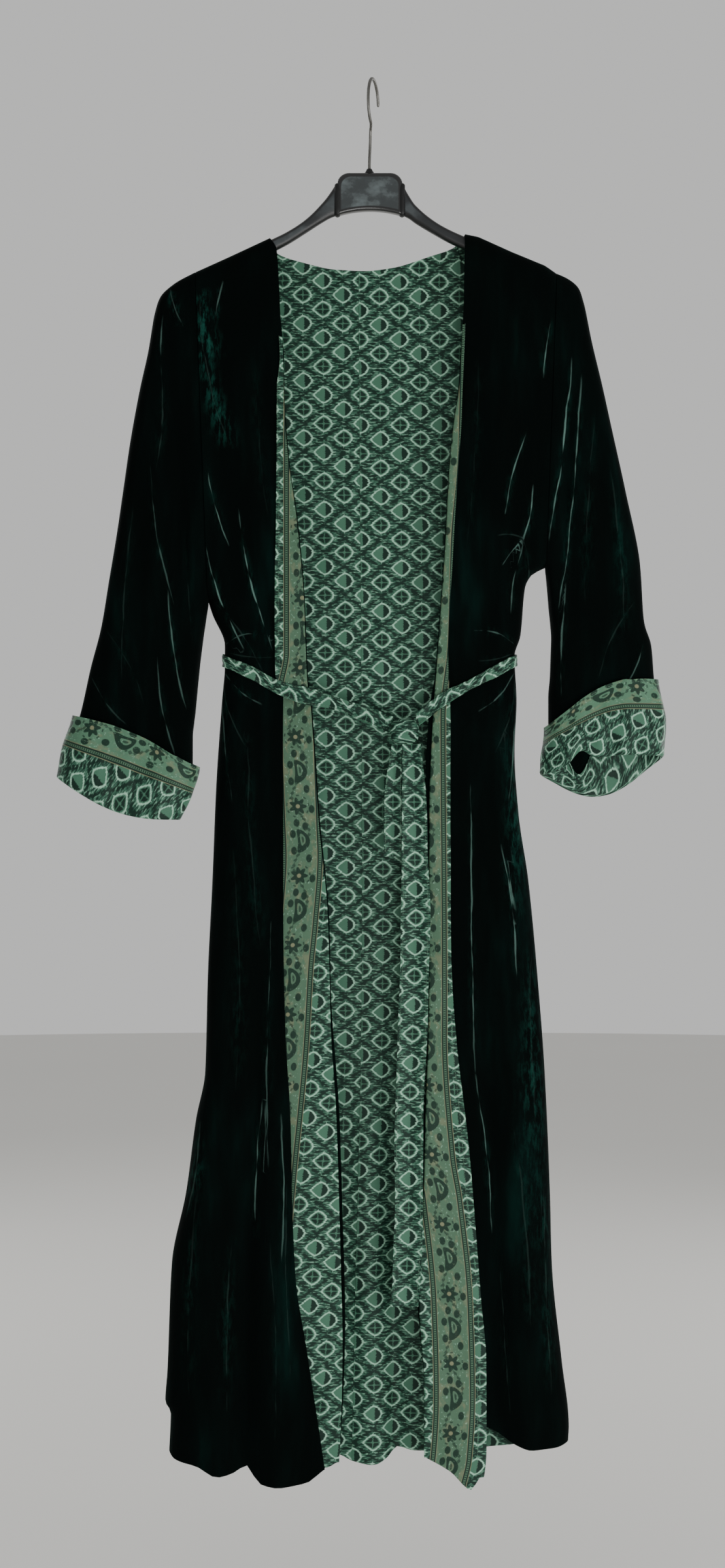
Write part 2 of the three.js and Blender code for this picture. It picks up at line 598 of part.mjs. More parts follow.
// Heights down one side, from the shoulder's tip to the hem.
function bodyRows(side) {
  const { topZ, underarmZ } = armholes[side];
  const shoulder = rollStops(SHOULDER_ROLL, 3).map((drop) => topZ - drop);
  const underarm = rollStops(UNDERARM_ROLL, 2).map((rise) => underarmZ + rise).reverse();
  const chest = spread(shoulder.at(-1), underarm[0], CHEST_ROWS).slice(1, -1);
  const hem = side === WEARER_RIGHT ? hems.right[0].z : hems.left.at(-1).z;
  const skirt = spread(beltRows.at(-1), hem, SKIRT_ROWS).slice(1);
  const waist = [lerp(underarmZ, HIP_TOP, 0.45), HIP_TOP, ...beltRows];
  return [...shoulder, ...chest, ...underarm, ...waist, ...skirt];
}

// The height of a point: its side's row, sloped up to the neck and down to the hem's outline.
function rowZ(rowHeight, top, hem, topLine, hemLine) {
  const neck = (topLine - top) * (1 - smooth((top - rowHeight) / NECK_SPREAD));
  const wave = (hemLine - hem) * smooth((hem + HEM_SPREAD - rowHeight) / HEM_SPREAD);
  return rowHeight + neck + wave;
}

const sideStops = rollStops(SIDE_ROLL, 3);

// ---------------------------------------------------------------- velvet fronts

// The turns of the pleat, from its front layer to its back layer: place across and drop in
// depth. Where the pleat is shut they lie in a row behind the facing's edge.
function pleatTurns(z) {
  const value = (column) => along(rightEdge, 'z', z, column);
  const lap = value('lap');
  const open = value('open');
  const root = lap - PLEAT_TURN - value('tuck');
  const step = Math.min(1, (value('fold') - lap) / 9);
  const turned = [
    { x: lap - PLEAT_TURN, drop: 0 },
    { x: lap, drop: PLEAT_TURN },
    { x: lap - PLEAT_TURN, drop: 2 * PLEAT_TURN },
    { x: root, drop: 2 * PLEAT_TURN },
    { x: root - PLEAT_ROOT, drop: 2 * PLEAT_TURN + PLEAT_ROOT },
    { x: root, drop: PLEAT_STEP },
  ];
  return turned.map(({ x, drop }, k) => ({ x: lerp(lap + k * step, x, open), drop: drop * open }));
}

const FRONT_FLATS = 5; // columns of a front's flat, between its side and its edge
const FACING_COLUMNS = 3; // columns of velvet under a facing

// The height of a row where it meets the front edge.
function edgeHeight(rows, height, neckZ) {
  return height + (neckZ - rows[0]) * (1 - smooth((rows[0] - height) / NECK_SPREAD));
}

function frontPoint(hem, rows, height, x, drop) {
  const z = rowZ(height, rows[0], rows.at(-1), shoulderZ(x), along(hem, 'x', x, 'z'));
  return new THREE.Vector3(x, bodyY(FRONT, x, z) + drop, z);
}

function frontRightGrid() {
  const rows = bodyRows(WEARER_RIGHT);
  return rows.map((height) => {
    const level = edgeHeight(rows, height, neckline[0].z);
    const edge = along(rightEdge, 'z', level, 'fold');
    const turns = pleatTurns(level);
    const outer = sideX(WEARER_RIGHT, height);
    const plain = [
      ...sideStops.map((stop) => outer + stop),
      ...spread(outer + SIDE_ROLL, turns[0].x, FRONT_FLATS).slice(1, -1),
    ];
    const last = turns.at(-1);
    const behind = spread(last.x, edge, FACING_COLUMNS).slice(1);
    return [
      ...plain.map((x) => frontPoint(hems.right, rows, height, x, 0)),
      ...turns.map(({ x, drop }) => frontPoint(hems.right, rows, height, x, drop)),
      ...behind.map((x) => frontPoint(hems.right, rows, height, x, last.drop)),
    ];
  });
}

function frontLeftGrid() {
  const rows = bodyRows(WEARER_LEFT);
  return rows.map((height) => {
    const level = edgeHeight(rows, height, neckline.at(-1).z);
    const fold = along(leftEdge, 'z', level, 'fold');
    const free = along(leftEdge, 'z', level, 'free');
    const outer = sideX(WEARER_LEFT, height);
    const columns = [
      ...sideStops.map((stop) => outer - stop),
      ...spread(outer - SIDE_ROLL, free, FRONT_FLATS).slice(1),
      ...spread(free, fold, FACING_COLUMNS).slice(1),
    ];
    return columns.map((x) => frontPoint(hems.left, rows, height, x, 0));
  });
}

// ---------------------------------------------------------------- back and its lining

const topOfBack = (x) => (x < neckline[0].x || x > neckline.at(-1).x
  ? shoulderZ(x)
  : along(neckline, 'x', x, 'z'));

const centreSeam = [
  { z: -200, x: -16 },
  { z: -893, x: -12 },
  { z: -1485, x: -23 },
];
const NECK_CORNER = [0, 1.2, 3.4, 7.5]; // columns just inside each neck point
const BACK_FLATS = 3;

// Columns of one half of the back, from the side seam to the centre seam.
function backColumns(side, height) {
  const outer = sideX(side, height);
  const centre = along(centreSeam, 'z', height, 'x');
  const topEdge = armholes[side].topX - side * SIDE_ROLL;
  const neckPoint = side === WEARER_RIGHT ? neckline[0].x : neckline.at(-1).x;
  const share = (x) => (x - topEdge) / (centreSeam[0].x - topEdge);
  const corner = NECK_CORNER.map((inset) => share(neckPoint - side * inset));
  const toCorner = spread(0, corner[0], BACK_FLATS).slice(0, -1);
  const fromCorner = spread(corner.at(-1), 1, BACK_FLATS).slice(1);
  const flat = [...toCorner, ...corner, ...fromCorner];
  const inner = flat.map((part) => lerp(outer - side * SIDE_ROLL, centre, part));
  return [...sideStops.slice(0, -1).map((stop) => outer - side * stop), ...inner];
}

function backGrid() {
  const rightRows = bodyRows(WEARER_RIGHT);
  const leftRows = bodyRows(WEARER_LEFT);
  return rightRows.map((rightZ, j) => {
    const leftZ = leftRows[j];
    const right = backColumns(WEARER_RIGHT, rightZ);
    const left = backColumns(WEARER_LEFT, leftZ).reverse().slice(1);
    const columns = [...right, ...left];
    return columns.map((x) => {
      const share = clamp((x - columns[0]) / (columns.at(-1) - columns[0]), 0, 1);
      const height = lerp(rightZ, leftZ, share);
      const top = lerp(rightRows[0], leftRows[0], share);
      const hem = lerp(rightRows.at(-1), leftRows.at(-1), share);
      const z = rowZ(height, top, hem, topOfBack(x), along(hems.back, 'x', x, 'z'));
      return new THREE.Vector3(x, bodyY(BACK, x, z), z);
    });
  });
}

const LINING_START = 3; // row of the back at which the lining starts under the shoulders
const LINING_COLUMNS_IN = 2; // columns of the back left bare beside the side seam
const LINING_EDGE = 1.2; // the lining stops this far inside the neck edge and the hem

// One half of the lining: the back's own points, moved in.
function liningGrid(side, panel) {
  const normals = gridNormals(panel, false, () => null);
  const last = panel[0].length - 1;
  const centre = (panel[0].length - 1) / 2;
  const from = side === WEARER_RIGHT ? LINING_COLUMNS_IN : centre;
  const to = side === WEARER_RIGHT ? centre : last - LINING_COLUMNS_IN;
  const inward = (j, i) => {
    const normal = normals[j][i];
    const toBody = normal.y > 0 ? -1 : 1;
    const point = panel[j][i].clone().addScaledVector(normal, toBody * UNDER_VELVET);
    point.x += i === centre ? side * (SEAM / 2) : 0;
    return point;
  };
  const columns = range(from, to);
  const corner = NECK_CORNER.at(-1) - LINING_EDGE;
  const atNeck = (x) => x > neckline[0].x + corner && x < neckline.at(-1).x - corner;
  const top = columns.map((i) => (atNeck(panel[0][i].x)
    ? inward(0, i).lerp(inward(1, i), 0.5)
    : inward(LINING_START, i)));
  const between = range(LINING_START + 1, panel.length - 2)
    .map((j) => columns.map((i) => inward(j, i)));
  const hem = columns.map((i) => inward(panel.length - 1, i).setZ(panel.at(-1)[i].z + LINING_EDGE));
  return [top, ...between, hem];
}

// ---------------------------------------------------------------- turned-out facings

const NOSE = 1.6; // how far the facing rolls past the velvet's folded edge
const FREE_INSET = 1.2; // the facing's edge lies this far inside the pleat's root
const PLEAT_TOP = -643; // above here the facing's edge lies on the velvet, below in the pleat
const PLEAT_TURNS = 5; // columns of velvet taken by the pleat
const FACING_FADE = 90; // height over which the facing's own hem line fades out

// A facing: the front's own points under it, moved out, with a roll past the folded edge.
function reversGrid(side, front) {
  const right = side === WEARER_RIGHT;
  const hemTable = right ? hems.reversRight : hems.reversLeft;
  const hemHeight = front.at(-1)[0].z;
  const normals = gridNormals(front, false, () => null);
  const first = front.findIndex((row) => row.at(-1).z < FACING_TOP[side]);
  const last = front[0].length - 1;
  const near = last - FACING_COLUMNS;
  return front.slice(first).map((row, k) => {
    const normalRow = normals[k + first];
    const fade = smooth((hemHeight + FACING_FADE - row[0].z) / FACING_FADE);
    const out = (i) => {
      const toFront = normalRow[i].y < 0 ? 1 : -1;
      return row[i].clone().addScaledVector(normalRow[i], toFront * (ON_VELVET + SEAM * fade));
    };
    const points = range(near + 1, last).map(out);
    if (!right) {
      points.unshift(out(near));
    } else if (row[0].z > PLEAT_TOP) {
      points.unshift(out(near - PLEAT_TURNS), out(near));
    } else {
      const edge = row[near].clone();
      edge.x += FREE_INSET;
      edge.y -= ON_VELVET;
      points.unshift(edge, edge.clone().lerp(points[0], 0.4));
    }
    const fold = points.at(-1);
    const turn = Math.min(NOSE, Math.abs(fold.x - points[0].x) / 3);
    points.push(new THREE.Vector3(fold.x - side * turn, fold.y + turn * 0.7, fold.z));
    points.forEach((point) => {
      const own = along(hemTable, 'x', point.x, 'z');
      const shift = own - along(right ? hems.right : hems.left, 'x', point.x, 'z');
      point.z += shift * fade;
    });
    return points;
  });
}

// ---------------------------------------------------------------- sleeves and cuffs

const rowTable = (side) => sleeves[side].map((row, k) => ({ ...row, k }));

// A point on the hanging sleeve: `row` down its table, `share` from outer to inner edge.
function onSleeve(side, face, row, share) {
  const table = rowTable(side);
  const value = (column) => along(table, 'k', row, column);
  const outer = new THREE.Vector2(value('outX'), value('outZ'));
  const inner = new THREE.Vector2(value('inX'), value('inZ'));
  const width = outer.distanceTo(inner);
  const bow = value(face === FRONT ? 'bowF' : 'bowB') * Math.sin(Math.PI * share);
  const x = lerp(outer.x, inner.x, share);
  const z = lerp(outer.y, inner.y, share) + bow;
  const hanging = smooth(row / 3);
  const outerRoll = roll((share * width) / lerp(SHOULDER_ROLL, SLEEVE_ROLL, hanging));
  const innerRoll = roll(((1 - share) * width) / lerp(UNDERARM_ROLL, SLEEVE_ROLL, hanging));
  const list = side === WEARER_RIGHT ? folds.sleeveRight : folds.sleeveLeft;
  const lift = foldLift(list, x, z) * outerRoll * innerRoll * hanging;
  const seam = side * ARMHOLE_GAP * (1 - smooth(row));
  return new THREE.Vector3(x + seam, face * (value('depth') * outerRoll * innerRoll + lift), z);
}

const SLEEVE_TURNS = 3;
const SLEEVE_FLATS = 4;

// Shares across the sleeve at which its section has a corner.
function sleeveShares(side, row) {
  const table = rowTable(side);
  const value = (column) => along(table, 'k', row, column);
  const width = Math.hypot(value('outX') - value('inX'), value('outZ') - value('inZ'));
  const hanging = smooth(row / 3);
  const outer = rollStops(lerp(SHOULDER_ROLL, SLEEVE_ROLL, hanging) / width, SLEEVE_TURNS);
  const inner = rollStops(lerp(UNDERARM_ROLL, SLEEVE_ROLL, hanging) / width, SLEEVE_TURNS);
  const flat = spread(outer.at(-1), 1 - inner.at(-1), SLEEVE_FLATS).slice(1, -1);
  return [...outer, ...flat, ...inner.map((share) => 1 - share).reverse()];
}

// The ring round a sleeve at a row: down the front, then up the back.
function sleeveRing(side, row) {
  const shares = sleeveShares(side, row);
  const front = shares.map((share) => onSleeve(side, FRONT, row, share));
  const back = shares.slice(1, -1).map((share) => onSleeve(side, BACK, row, share)).reverse();
  return [...front, ...back];
}

function sleeveGrid(side) {
  const { end } = cuffs[side];
  return range(0, end).map((row) => sleeveRing(side, row));
}

const RING_NEAR = 0.2; // rows to the rings from which a ring's normals are read

// The cuff: down outside the sleeve, round its end, and a short way back up inside.
function cuffGrid(side) {
  const { top, end, standOff } = cuffs[side];
  const ringRows = spread(top, end, CUFF_RINGS);
  const rings = ringRows.map((row) => sleeveRing(side, row));
  const normals = gridNormals(rings, true, () => null);
  const centre = middle(rings[0]);
  const spoke = new THREE.Vector3().subVectors(rings[0][0], centre);
  const away = Math.sign(normals[0][0].dot(spoke));
  const moved = (ring, ringNormals, distance) =>
    ring.map((p, i) => p.clone().addScaledVector(ringNormals[i], away * distance));
  const last = rings.length - 1;
  const down = rings[last].map((p, i) => new THREE.Vector3().subVectors(p, rings[last - 1][i]).normalize());
  const outside = ringRows.map((row, k) => {
    const rise = (end - row) / (end - top);
    return moved(rings[k], normals[k], UNDER_VELVET + (standOff - UNDER_VELVET) * rise);
  });
  const lip = CUFF_LIP.map((beyond, k) =>
    moved(rings[last], normals[last], (1 - k) * CUFF_LIP[0] * UNDER_VELVET)
      .map((p, i) => p.addScaledVector(down[i], beyond * UNDER_VELVET)));
  const inside = CUFF_REACHES.map((reach) => {
    const near = [end - reach - RING_NEAR, end - reach, end - reach + RING_NEAR]
      .map((row) => sleeveRing(side, row));
    return moved(near[1], gridNormals(near, true, () => null)[1], -UNDER_VELVET);
  });
  return [...outside, ...lip, ...inside];
}

// ---------------------------------------------------------------- tie belt

const BELT_LANES = [-0.5, -0.17, 0.17, 0.5]; // share of the width, from edge to edge
const BELT_AT_FOLD = -655; // height at which the belt crosses the folded edges
const BELT_STEPS = { overFront: 6, toKnot: { [WEARER_RIGHT]: 6, [WEARER_LEFT]: 3 } };
const BELT_CLIMB = { before: 14, over: 10 }; // where the belt climbs on to the facing
const BELT_BACK_STEPS = 10;
const TAIL_COLUMNS = 4;
const TAIL_RIPPLE = 1.2;

// The belt's front stretch: round the side, over the front and its facing, then free to the knot.
function beltFrontGrid(side) {
  const route = side === WEARER_RIGHT ? beltRight : beltLeft;
  const edges = side === WEARER_RIGHT ? rightEdge : leftEdge;
  const knotSide = knot.x + side * (knot.width / 2 + SEAM);
  const start = sideX(side, route[0].z);
  const fold = along(edges, 'z', BELT_AT_FOLD, 'fold');
  const toFold = Math.abs(start - fold);
  const toKnot = Math.abs(start - knotSide);
  const stops = [
    ...sideStops,
    ...spread(SIDE_ROLL, toFold, BELT_STEPS.overFront).slice(1),
    ...spread(toFold, toKnot, BELT_STEPS.toKnot[side]).slice(1),
  ];
  return BELT_LANES.map((lane) =>
    stops.map((stop) => {
      const x = start - side * stop;
      const z = along(route, 'x', x, 'z') + lane * along(route, 'x', x, 'width');
      const free = along(edges, 'z', z, side === WEARER_RIGHT ? 'lap' : 'free');
      const lifted = smooth((side * (free - x) + BELT_CLIMB.before) / BELT_CLIMB.over);
      const off = lerp(BELT_ON_VELVET, BELT_ON_FACING, lifted);
      const clear = clamp((side * (fold - x)) / Math.abs(fold - knotSide), 0, 1);
      const here = onBody(FRONT, side * Math.max(side * x, side * fold), z, off);
      const place = stop < SIDE_ROLL ? onBody(FRONT, sideX(side, z) - side * stop, z, off) : here;
      const y = lerp(place.y, knot.y, smooth(clear));
      return new THREE.Vector3(clear > 0 ? x : place.x, y, place.z);
    }),
  );
}

function beltBackGrid() {
  const right = sideX(WEARER_RIGHT, beltRight[0].z);
  const left = sideX(WEARER_LEFT, beltLeft[0].z);
  const width = beltRight[0].width;
  const inner = spread(SIDE_ROLL, left - right - SIDE_ROLL, BELT_BACK_STEPS).slice(1, -1);
  const stops = [...sideStops, ...inner, ...sideStops.map((stop) => left - right - stop).reverse()];
  return BELT_LANES.map((lane) =>
    stops.map((stop) => {
      const share = stop / (left - right);
      const sag = BELT_SAG * Math.sin(Math.PI * share);
      const z = lerp(beltRight[0].z, beltLeft[0].z, share) - sag + lane * width;
      const fromLeft = left - right - stop;
      const x = stop < fromLeft ? sideX(WEARER_RIGHT, z) + stop : sideX(WEARER_LEFT, z) - fromLeft;
      return onBody(BACK, x, z, BELT_ON_VELVET);
    }),
  );
}

function beltTailGrid(table) {
  const heights = spread(table[0].z, table.at(-1).z, table.length * 2);
  return heights.map((z) => {
    const value = (column) => along(table, 'z', z, column);
    return spread(-0.5, 0.5, TAIL_COLUMNS).map((across) => {
      const ripple = TAIL_RIPPLE * Math.cos(across * Math.PI * 2);
      return new THREE.Vector3(value('x') + across * value('width'), value('y') + ripple, z);
    });
  });
}

const KNOT_AROUND = 20;
const KNOT_RINGS = 8;
const KNOT_POLE = 78; // degrees at which its end caps are cut
const KNOT_WRAP = { depth: 0.05, slant: 3.2 };

// A small rounded box, its turns wrapped slantwise round it.
function knotRings() {
  const soften = (value) => Math.sign(value) * Math.abs(value) ** (2 / KNOT_BOXINESS);
  return spread(-KNOT_POLE, KNOT_POLE, KNOT_RINGS).map((latitude) => {
    const up = soften(Math.sin(THREE.MathUtils.degToRad(latitude)));
    const wide = soften(Math.cos(THREE.MathUtils.degToRad(latitude)));
    return Array.from({ length: KNOT_AROUND }, (_, k) => {
      const angle = (k / KNOT_AROUND) * 2 * Math.PI;
      const wrap = 1 - KNOT_WRAP.depth * Math.cos(2 * angle + KNOT_WRAP.slant * up) * wide;
      const x = (knot.width / 2) * wide * soften(Math.cos(angle)) * wrap;
      const y = (knot.depth / 2) * wide * soften(Math.sin(angle)) * wrap;
      return new THREE.Vector3(knot.x + x, knot.y + y, knot.z + (knot.height / 2) * up);
    });
  });
}

// ---------------------------------------------------------------- hanger and hook

const ARM_SIDES = 12;
const ARM_STEPS = 5;
const ARM_TIP = 0.7; // size of an arm's last ring
const ARM_TIP_DROP = 1.8;

function armRings(side) {
  const from = arms[side].at(-1).x;
  const hidden = spread(from, ARM_ENDS[side], ARM_STEPS).slice(1).map((x, k) => {
    const atTip = k === ARM_STEPS - 1;
    const size = atTip ? ARM_TIP : 1;
    const top = shoulderZ(x) - ARM_UNDER_CLOTH - (atTip ? ARM_TIP_DROP : 0);
    return { x, top, bottom: top - ARM_HEIGHT * size, depth: ARM_DEPTH * size };
  });
  return [...arms[side], ...hidden].map(({ x, top, bottom, depth }) =>
    Array.from({ length: ARM_SIDES }, (_, k) => {
      const angle = (k / ARM_SIDES) * 2 * Math.PI;
      const z = lerp(bottom, top, 0.5 + 0.5 * Math.sin(angle));
      return new THREE.Vector3(x, (depth / 2) * Math.cos(angle), z);
    }),
  );
}

function blockOutline() {
  const { left, right, top, bottom, arch } = block;
  const outline = new THREE.Shape();
  outline.moveTo(right, bottom);
  outline.quadraticCurveTo((left + right) / 2, arch * 2 - bottom, left, bottom);
  outline.lineTo(left, top - BLOCK_CORNER);
  outline.absarc(left - BLOCK_CORNER, top - BLOCK_CORNER, BLOCK_CORNER, 0, Math.PI / 2, false);
  outline.lineTo(right + BLOCK_CORNER, top);
  outline.absarc(right + BLOCK_CORNER, top - BLOCK_CORNER, BLOCK_CORNER, Math.PI / 2, Math.PI, false);
  outline.closePath();
  return outline;
}

const BEVEL = 1.5;

// Extruded in the XZ plane, its middle on y = 0.
function blockGeometry() {
  const geometry = new THREE.ExtrudeGeometry(blockOutline(), {
    depth: block.depth - 2 * BEVEL,
    curveSegments: 5,
    bevelEnabled: true,
    bevelThickness: BEVEL,
    bevelSize: BEVEL,
    bevelOffset: -BEVEL,
    bevelSegments: 1,
  });
  geometry.rotateX(Math.PI / 2);
  geometry.translate(0, block.depth / 2 - BEVEL, 0);
  return geometry;
}

function toSolid(wasm, geometry) {
  const bare = geometry.clone();
  bare.deleteAttribute('normal');
  bare.deleteAttribute('uv');
  const merged = mergeVertices(bare, 1e-4);
  return new wasm.Manifold(new wasm.Mesh({
    numProp: 3,
    vertProperties: Float32Array.from(merged.attributes.position.array),
    triVerts: Uint32Array.from(merged.index.array),
  }));
}

function toGeometry(solid) {
  const mesh = solid.getMesh();
  const geometry = new THREE.BufferGeometry();
  geometry.setAttribute('position', new THREE.BufferAttribute(Float32Array.from(mesh.vertProperties), 3));
  geometry.setIndex(Array.from(mesh.triVerts));
  geometry.computeVertexNormals();
  return geometry;
}

function upright(radius, height, x, bottom) {
  const cylinder = new THREE.CylinderGeometry(radius, radius, height, 16);
  cylinder.rotateX(Math.PI / 2);
  cylinder.translate(x, 0, bottom + height / 2);
  return cylinder;
}

// The block with its collar, and a hole that takes the hook's shank.
function drilledBlock(wasm) {
  const collar = upright(COLLAR.radius, COLLAR.height + COLLAR.sunk, SHANK_X, block.top - COLLAR.sunk);
  const floor = block.top - SHANK_SINK - SEAM;
  const hole = upright(WIRE / 2 + SEAM, SHANK_SINK + 2 * COLLAR.height, SHANK_X, floor);
  const solid = toSolid(wasm, blockGeometry()).add(toSolid(wasm, collar)).subtract(toSolid(wasm, hole));
  return toGeometry(solid);
}

// A question-mark hook: straight shank, then a round hook over its crown to the free tip.
function hookPath() {
  const turn = THREE.MathUtils.degToRad(HOOK_TURN);
  const centreZ = WIRE / 2 - HOOK_RADIUS;
  const inPlane = (w, z, x = 0) => new THREE.Vector3(x + w * Math.cos(turn), w * Math.sin(turn), z);
  const foot = centreZ - HOOK_RADIUS;
  const shank = [
    new THREE.Vector3(SHANK_X, 0, block.top - SHANK_SINK),
    new THREE.Vector3(SHANK_X, 0, block.top + SHANK_RISE),
    ...SHANK_BEND.map(({ lean, below, shift }) => inPlane(lean, foot - below, SHANK_X * shift)),
  ];
  const arc = spread(HOOK_START, HOOK_START - HOOK_SWEEP, HOOK_ARCS).map((degrees) => {
    const angle = THREE.MathUtils.degToRad(degrees);
    return inPlane(HOOK_RADIUS * Math.cos(angle), centreZ + HOOK_RADIUS * Math.sin(angle));
  });
  return new THREE.CatmullRomCurve3([...shank, ...arc], false, 'centripetal');
}

function hookGeometry() {
  const section = new THREE.Shape();
  section.absarc(0, 0, WIRE / 2, 0, Math.PI * 2, false);
  return new THREE.ExtrudeGeometry(section, {
    steps: 38,
    curveSegments: 5,
    bevelEnabled: false,
    extrudePath: hookPath(),
  });
}

// ---------------------------------------------------------------- the whole robe

const velvet = { color: 0x06211a, roughness: 0.85, metalness: 0 };
const printed = { color: 0x4c7a5f, roughness: 0.5, metalness: 0 };
const bordered = { color: 0x6f7f5c, roughness: 0.55, metalness: 0 };
const blockPlastic = { color: 0x34363a, roughness: 0.25, metalness: 0 };
const armPlastic = { color: 0x101113, roughness: 0.35, metalness: 0 };
const steel = { color: 0x9a9c9e, roughness: 0.3, metalness: 1 };

const robe = new THREE.Group();

function add(name, geometry, look) {
  const mesh = new THREE.Mesh(geometry, new THREE.MeshStandardMaterial(look));
  mesh.name = name;
  robe.add(mesh);
}

// A front's seams: shoulder and side close on the back (y), the armhole on the sleeve (x).
function frontSeams(side, rows) {
  return (i, j) => {
    if (j === 0) {
      return 'y';
    }
    if (i === 0) {
      return rows[j] > armholes[side].underarmZ - SEAM ? 'x' : 'y';
    }
    return null;
  };
}

function backSeams(grid, rows) {
  const last = grid[0].length - 1;
  const neck = (x) => x > neckline[0].x + 1 && x < neckline.at(-1).x - 1;
  return (i, j) => {
    if (j === 0 && !neck(grid[0][i].x)) {
      return 'y';
    }
    if (i === 0 || i === last) {
      const side = i === 0 ? WEARER_RIGHT : WEARER_LEFT;
      return rows[side][j] > armholes[side].underarmZ - SEAM ? 'x' : 'y';
    }
    return null;
  };
}

const wasm = await Module();
wasm.setup();

const backPanel = backGrid();
const rows = { [WEARER_RIGHT]: bodyRows(WEARER_RIGHT), [WEARER_LEFT]: bodyRows(WEARER_LEFT) };
const fronts = { [WEARER_RIGHT]: frontRightGrid(), [WEARER_LEFT]: frontLeftGrid() };
const ringSeam = { closed: true, flatEdge: (i, j) => (j === 0 ? 'x' : null) };
add('back', wall(backPanel, VELVET, { flatEdge: backSeams(backPanel, rows) }), velvet);

[['right', WEARER_RIGHT], ['left', WEARER_LEFT]].forEach(([word, side]) => {
  add(`front_${word}`, wall(fronts[side], VELVET, { flatEdge: frontSeams(side, rows[side]) }), velvet);
  add(`back_lining_${word}`, wall(liningGrid(side, backPanel), LINING), printed);
  add(`revers_${word}`, wall(reversGrid(side, fronts[side]), FACING), bordered);
  add(`sleeve_${word}`, wall(sleeveGrid(side), VELVET, ringSeam), velvet);
  add(`cuff_${word}`, wall(cuffGrid(side), LINING, { closed: true }), bordered);
  add(`belt_${word}`, wall(beltFrontGrid(side), BELT, { flatEdge: (i) => (i === 0 ? 'y' : null) }), printed);
  add(`hanger_arm_${word}`, loft(armRings(side)), armPlastic);
});

const beltBack = beltBackGrid();
add('belt_back', wall(beltBack, BELT,
  { flatEdge: (i) => (i === 0 || i === beltBack[0].length - 1 ? 'y' : null) }), printed);
add('belt_knot', loft(knotRings()), printed);
add('belt_tail_long', wall(beltTailGrid(tailLong), BELT), printed);
add('belt_tail_short', wall(beltTailGrid(tailShort), BELT), printed);
add('hanger_block', drilledBlock(wasm), blockPlastic);
add('hook', hookGeometry(), steel);

export default robe;
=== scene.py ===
"""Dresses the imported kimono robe: velvet, printed lining, turned-out facings, cuffs, tie belt and hanger.

Tables and shapes are in millimetres in the frame's own axes: +Z up, the front faces -Y, the wearer's
right is on -X, and the origin is under the hook's crown. A mesh is written in metres.
"""

import bpy
import math
import numpy as np
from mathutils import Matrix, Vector


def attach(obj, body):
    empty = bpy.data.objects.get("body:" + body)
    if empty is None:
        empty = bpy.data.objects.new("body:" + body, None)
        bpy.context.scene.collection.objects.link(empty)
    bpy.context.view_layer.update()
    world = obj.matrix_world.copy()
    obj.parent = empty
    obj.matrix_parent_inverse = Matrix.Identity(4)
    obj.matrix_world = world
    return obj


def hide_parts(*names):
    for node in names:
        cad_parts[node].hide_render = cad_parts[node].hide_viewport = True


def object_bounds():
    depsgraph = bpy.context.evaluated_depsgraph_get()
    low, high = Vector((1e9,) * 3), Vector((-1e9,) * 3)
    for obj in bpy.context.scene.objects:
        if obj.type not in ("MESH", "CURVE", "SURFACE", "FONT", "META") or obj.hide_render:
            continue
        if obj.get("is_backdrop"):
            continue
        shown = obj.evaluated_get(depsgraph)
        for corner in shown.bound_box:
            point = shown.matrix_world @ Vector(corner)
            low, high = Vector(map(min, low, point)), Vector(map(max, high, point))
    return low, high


bl_info = {
    "name": "Kimono robe on a hanger",
    "version": (1, 0, 0),
    "blender": (4, 5, 0),
    "location": "View3D > Sidebar > Robe",
    "description": "Makes the visible cloth, belt and hanger of a velvet kimono robe on its packed frame",
    "category": "Add Mesh",
}

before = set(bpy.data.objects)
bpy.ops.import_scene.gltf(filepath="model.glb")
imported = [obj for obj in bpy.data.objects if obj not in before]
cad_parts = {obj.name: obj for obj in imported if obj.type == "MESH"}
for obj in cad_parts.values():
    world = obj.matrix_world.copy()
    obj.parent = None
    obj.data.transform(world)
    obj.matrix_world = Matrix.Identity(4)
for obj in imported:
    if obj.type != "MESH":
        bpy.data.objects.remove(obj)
CAD_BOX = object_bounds()

MM = 0.001
FRONT, BACK = -1, 1
RIGHT, LEFT = -1, 1
SIDES = (("right", RIGHT), ("left", LEFT))
WORDS = {side: word for word, side in SIDES}


# ------------------------------------------------------------------ sizes shared with the frame

VELVET, LINING, FACING, BELT = 1.6, 1.2, 1.4, 1.8
SEAM, LAYER, BELT_LAYER, ARMHOLE_GAP = 0.3, 0.5, 0.8, 0.55
SHOULDER_ROLL, SIDE_ROLL, UNDERARM_ROLL, SLEEVE_ROLL = 18, 25, 15, 26
UNDERARM_GAPE = 0.07
ON_VELVET = VELVET / 2 + LAYER + FACING / 2
UNDER_VELVET = VELVET / 2 + LAYER + LINING / 2
BELT_ON_VELVET = VELVET / 2 + BELT_LAYER + BELT / 2
BELT_ON_FACING = ON_VELVET + FACING / 2 + BELT_LAYER + BELT / 2


def table(columns, *rows):
    """A short table: one array for each named column."""
    values = np.array(rows, float)
    return {name: values[:, k] for k, name in enumerate(columns.split())}


